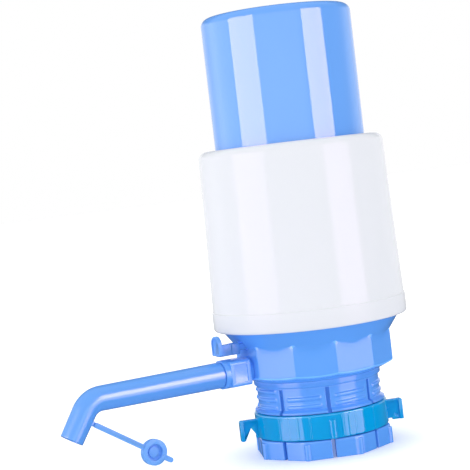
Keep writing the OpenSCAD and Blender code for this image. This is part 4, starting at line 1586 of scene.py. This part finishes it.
class InnerParts:
    """The pieces that work inside. Their shapes are the frame's own, and the soft ones are copies."""

    FINISHES: dict[str, Finish] = {
        "neck_web": INNER_WHITE, "neck_gasket": SEAL_WHITE, "water_elbow": INNER_WHITE, "base_floor": BODY_BLUE,
        "base_body": EMISSIVE_INNER_BLUE, "spout_oring": SEAL_WHITE, "lever_pin": STEEL, "vent_valve": INNER_WHITE,
        "vent_seal": SEAL_WHITE, "vent_retainer": INNER_WHITE, "vent_spring": STEEL, "outlet_valve": SEAL_WHITE,
        "bellows": BELLOWS_GREY, "bellows_base_plate": INNER_WHITE, "bellows_base_ring": INNER_WHITE,
        "base_screws": STEEL, "return_spring": STEEL, "bellows_top_plate": INNER_WHITE,
        "bellows_top_ring": INNER_WHITE, "cap_screws": STEEL, "intake_valve": SEAL_WHITE}
    SOFT_NAMES: dict[str, str] = {
        "bellows": "bellows_folds", "return_spring": "return_coil", "vent_spring": "vent_coil"}

    def follow(self, node: str, kit: Finishes) -> None:
        """Puts a copy of a bellows or a spring in the place of its node, on the base.

        Args:
            node: The node that it stands for.
            kit: The shared groups.
        """
        source = frame["nodes"][node]
        mesh = source.data.copy()
        mesh.transform(source.matrix_world)
        piece = bpy.data.objects.new(self.SOFT_NAMES[node], mesh)
        bpy.context.scene.collection.objects.link(piece)
        place_piece(piece, "base", self.FINISHES[node], kit, node)
        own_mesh(piece)

    def build(self, kit: Finishes) -> None:
        """Gives each of them its finish, and puts a copy in the place of each soft node that a joint names."""
        for node, finish in self.FINISHES.items():
            if node not in self.SOFT_NAMES:
                dress(frame["nodes"][node], finish, kit)
                log.info("%s: finished in %s", node, finish.name)
        for joint in frame["record"]["behaviour"]["joints"]:
            for soft in joint.get("deforming_nodes", []):
                self.follow(soft["node"], kit)


# ---- Studio ----


@dataclass
class Studio:
    """Camera, lamps, surroundings and floor."""

    eye: Triple = (-0.37302, -0.63326, 0.1416)
    forward: Triple = (0.469416, 0.881824, -0.04511)
    right: Triple = (0.874129, -0.471319, -0.117285)
    up: Triple = (0.124686, -0.015623, 0.992073)
    lens: float = 115.24
    facing: float = -30.5
    strips: tuple[Pair, ...] = ((-75.0, -33.5), (39.0, 73.0))
    strip_far: float = 1.1
    strip_glow: float = 8.3
    strip_tint: Triple = (1.0, 0.7, 1.0)
    strip_share: Pair = (1.0, 1.2)
    low_share: float = 0.4
    floor_half: float = 6000.0
    floor_white: Triple = (0.92, 0.93, 0.95)
    # Radii over which the floor's camera glow rises from dim to bright: the dim part is a painted shadow round the
    # pump.
    floor_painted_shade_span: Pair = (0.03, 0.052)
    floor_glow: Pair = (0.12, 0.36)
    high_span: Pair = (0.0, 0.62)
    low_span: Pair = (-0.45, 0.0)

    def camera(self) -> None:
        """Sets the camera where the photograph was taken from."""
        data = bpy.data.cameras.new("camera")
        data.lens = self.lens
        data.sensor_width = 36.0
        data.clip_start = 0.01
        data.clip_end = 100.0
        camera = bpy.data.objects.new("camera", data)
        columns = (self.right, self.up, tuple(-c for c in self.forward))
        camera.matrix_world = Matrix.Translation(self.eye) @ Matrix(columns).transposed().to_4x4()
        bpy.context.scene.collection.objects.link(camera)
        bpy.context.scene.camera = camera

    def direction(self, turn: float) -> Vector:
        """A level direction.

        Args:
            turn: Degrees to the right of the camera, seen from the pump.

        Returns:
            The unit vector.
        """
        a = math.radians(self.facing + turn)
        return Vector((math.sin(a), -math.cos(a), 0))

    def lamp(self, name: str, place: Vector, size: Pair, watts: float) -> bpy.types.Object:
        """An area lamp that faces the pump's axis, and only shows in reflections.

        Args:
            name: Its name.
            place: Its middle.
            size: Its width and height.
            watts: Its power.

        Returns:
            The lamp.
        """
        data = bpy.data.lights.new(name, "AREA")
        data.shape = "RECTANGLE"
        data.size, data.size_y = size
        data.energy = watts
        data.color = self.strip_tint
        lamp = bpy.data.objects.new(name, data)
        lamp.location = place
        aim = Vector((0, 0, place.z)) - place
        lamp.rotation_euler = aim.to_track_quat("-Z", "Y").to_euler()
        lamp.visible_camera = False
        lamp.visible_diffuse = False
        bpy.context.scene.collection.objects.link(lamp)
        return lamp

    def lamps(self) -> None:
        """Two tall strips that the glossy parts reflect."""
        for k, (start, end) in enumerate(self.strips):
            width = 2 * self.strip_far * math.tan(math.radians(end - start) / 2)
            place = self.direction((start + end) / 2) * self.strip_far
            for part, (low, high), share in (("high", self.high_span, 1.0), ("low", self.low_span, self.low_share)):
                tall = high - low
                self.lamp(f"strip_{part}_{k}", place + Vector((0, 0, (low + high) / 2)), (width, tall),
                          self.strip_glow * self.strip_share[k] * share * math.pi * width * tall)

    def surroundings(self) -> None:
        """A white studio: pale all round, brighter before the pump and darker at its right and above."""
        world = bpy.data.worlds.new("studio")
        bpy.context.scene.world = world
        world.use_nodes = True
        nodes = Nodes(world.node_tree)
        background = world.node_tree.nodes["Background"]
        path = nodes.add("ShaderNodeLightPath")
        way = nodes.add("ShaderNodeTexCoord").outputs["Generated"]

        def towards(direction: Vector) -> bpy.types.NodeSocket:
            """How far a ray runs along a direction."""
            node = nodes.add("ShaderNodeVectorMath", operation="DOT_PRODUCT")
            nodes.link(way, node.inputs[0])
            node.inputs[1].default_value = direction
            return node.outputs["Value"]

        def ramp(value: bpy.types.NodeSocket, a: float, b: float, low: float, high: float) -> bpy.types.NodeSocket:
            """A smooth change of a value between two others."""
            node = nodes.add("ShaderNodeMapRange", interpolation_type="SMOOTHSTEP", From_Min=a, From_Max=b,
                             To_Min=low, To_Max=high)
            nodes.link(value, node.inputs["Value"])
            return node.outputs["Result"]

        right = towards(self.direction(90))
        up = towards(Vector((0, 0, 1)))
        front = ramp(towards(self.direction(0)), -0.75, -0.35, 0.0, 1.0)
        level = nodes.sum("ADD", nodes.sum("MULTIPLY", front, ramp(right, 0.4, 1.0, 1.35, -0.65)), 1.0)
        low = ramp(up, -0.16, -0.03, 0.08, 1.0)
        high = nodes.sum("MAXIMUM", ramp(up, 0.12, 0.32, 1.0, 0.15), nodes.sum("MULTIPLY", front, 0.4))
        glossy = nodes.sum("MULTIPLY", level, nodes.sum("MULTIPLY", low, high))
        plain = nodes.sum("MAXIMUM", path.outputs["Is Camera Ray"], path.outputs["Is Transmission Ray"])
        other = nodes.sum("SUBTRACT", 1.0, nodes.sum("MAXIMUM", plain, path.outputs["Is Glossy Ray"]))
        soft = nodes.sum("MULTIPLY", other, ramp(right, -1.0, 1.0, 1.14, 1.0))
        strength = nodes.sum("ADD", nodes.sum("MULTIPLY", glossy, path.outputs["Is Glossy Ray"]),
                             nodes.sum("ADD", plain, soft))
        nodes.link(strength, background.inputs["Strength"])
        background.inputs["Color"].default_value = (1, 1, 1, 1)

    def floor(self) -> None:
        """A wide white floor that keeps the pump's shadow, with a glow for camera rays that is dimmer near the pump:
        a painted shadow round the feet.
        """
        half = self.floor_half
        plane = make_object("floor", [(x, y, 0) for x, y in rectangle((-half, -half), (half, half))], [(0, 1, 2, 3)])
        material = bpy.data.materials.new("floor_white")
        material.use_nodes = True
        nodes = Nodes(material.node_tree)
        shader = material.node_tree.nodes["Principled BSDF"]
        fill(shader, {"Base Color": (*self.floor_white, 1), "Roughness": 0.5, "Specular IOR Level": 0.2,
                      "Emission Color": (1, 1, 1, 1)})
        seen = nodes.add("ShaderNodeLightPath").outputs["Is Camera Ray"]
        place = nodes.add("ShaderNodeTexCoord").outputs["Object"]
        far = nodes.add("ShaderNodeVectorMath", operation="LENGTH")
        nodes.link(place, far.inputs[0])
        # The glow fades near the pump: painted shadow on the floor round the feet and inside the clamp.
        near, clear = self.floor_painted_shade_span
        dim, bright = self.floor_glow
        painted_floor_shade = nodes.add("ShaderNodeMapRange", From_Min=near, From_Max=clear, To_Min=dim, To_Max=bright)
        nodes.link(far.outputs["Value"], painted_floor_shade.inputs["Value"])
        nodes.link(nodes.sum("MULTIPLY", seen, painted_floor_shade.outputs["Result"]), shader.inputs["Emission Strength"])
        plane.data.materials.append(material)
        plane.visible_glossy = False
        plane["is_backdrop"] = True

    def build(self) -> None:
        """Sets up the studio."""
        bpy.context.scene.view_settings.view_transform = "Standard"
        self.camera()
        self.lamps()
        self.surroundings()
        self.floor()


def corners() -> list[list[float]]:
    """The shown object's lowest and highest corners, as plain lists."""
    return [list(c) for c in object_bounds()]


def main() -> None:
    """Builds the studio and each sub-assembly in turn."""
    logging.basicConfig(level=logging.INFO, format="%(name)s: %(message)s")
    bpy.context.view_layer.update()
    Studio().build()
    kit = Finishes()
    spout = Spout()
    assemblies = (InnerParts(), BaseHousing(), ClampCollar(), LockRing(), OuterSleeve(), PressCap(), SpoutSocket(),
                  spout, TetherPlug(spout), ReleaseLever())
    for assembly in assemblies:
        assembly.build(kit)


if __name__ == "__main__":
    main()
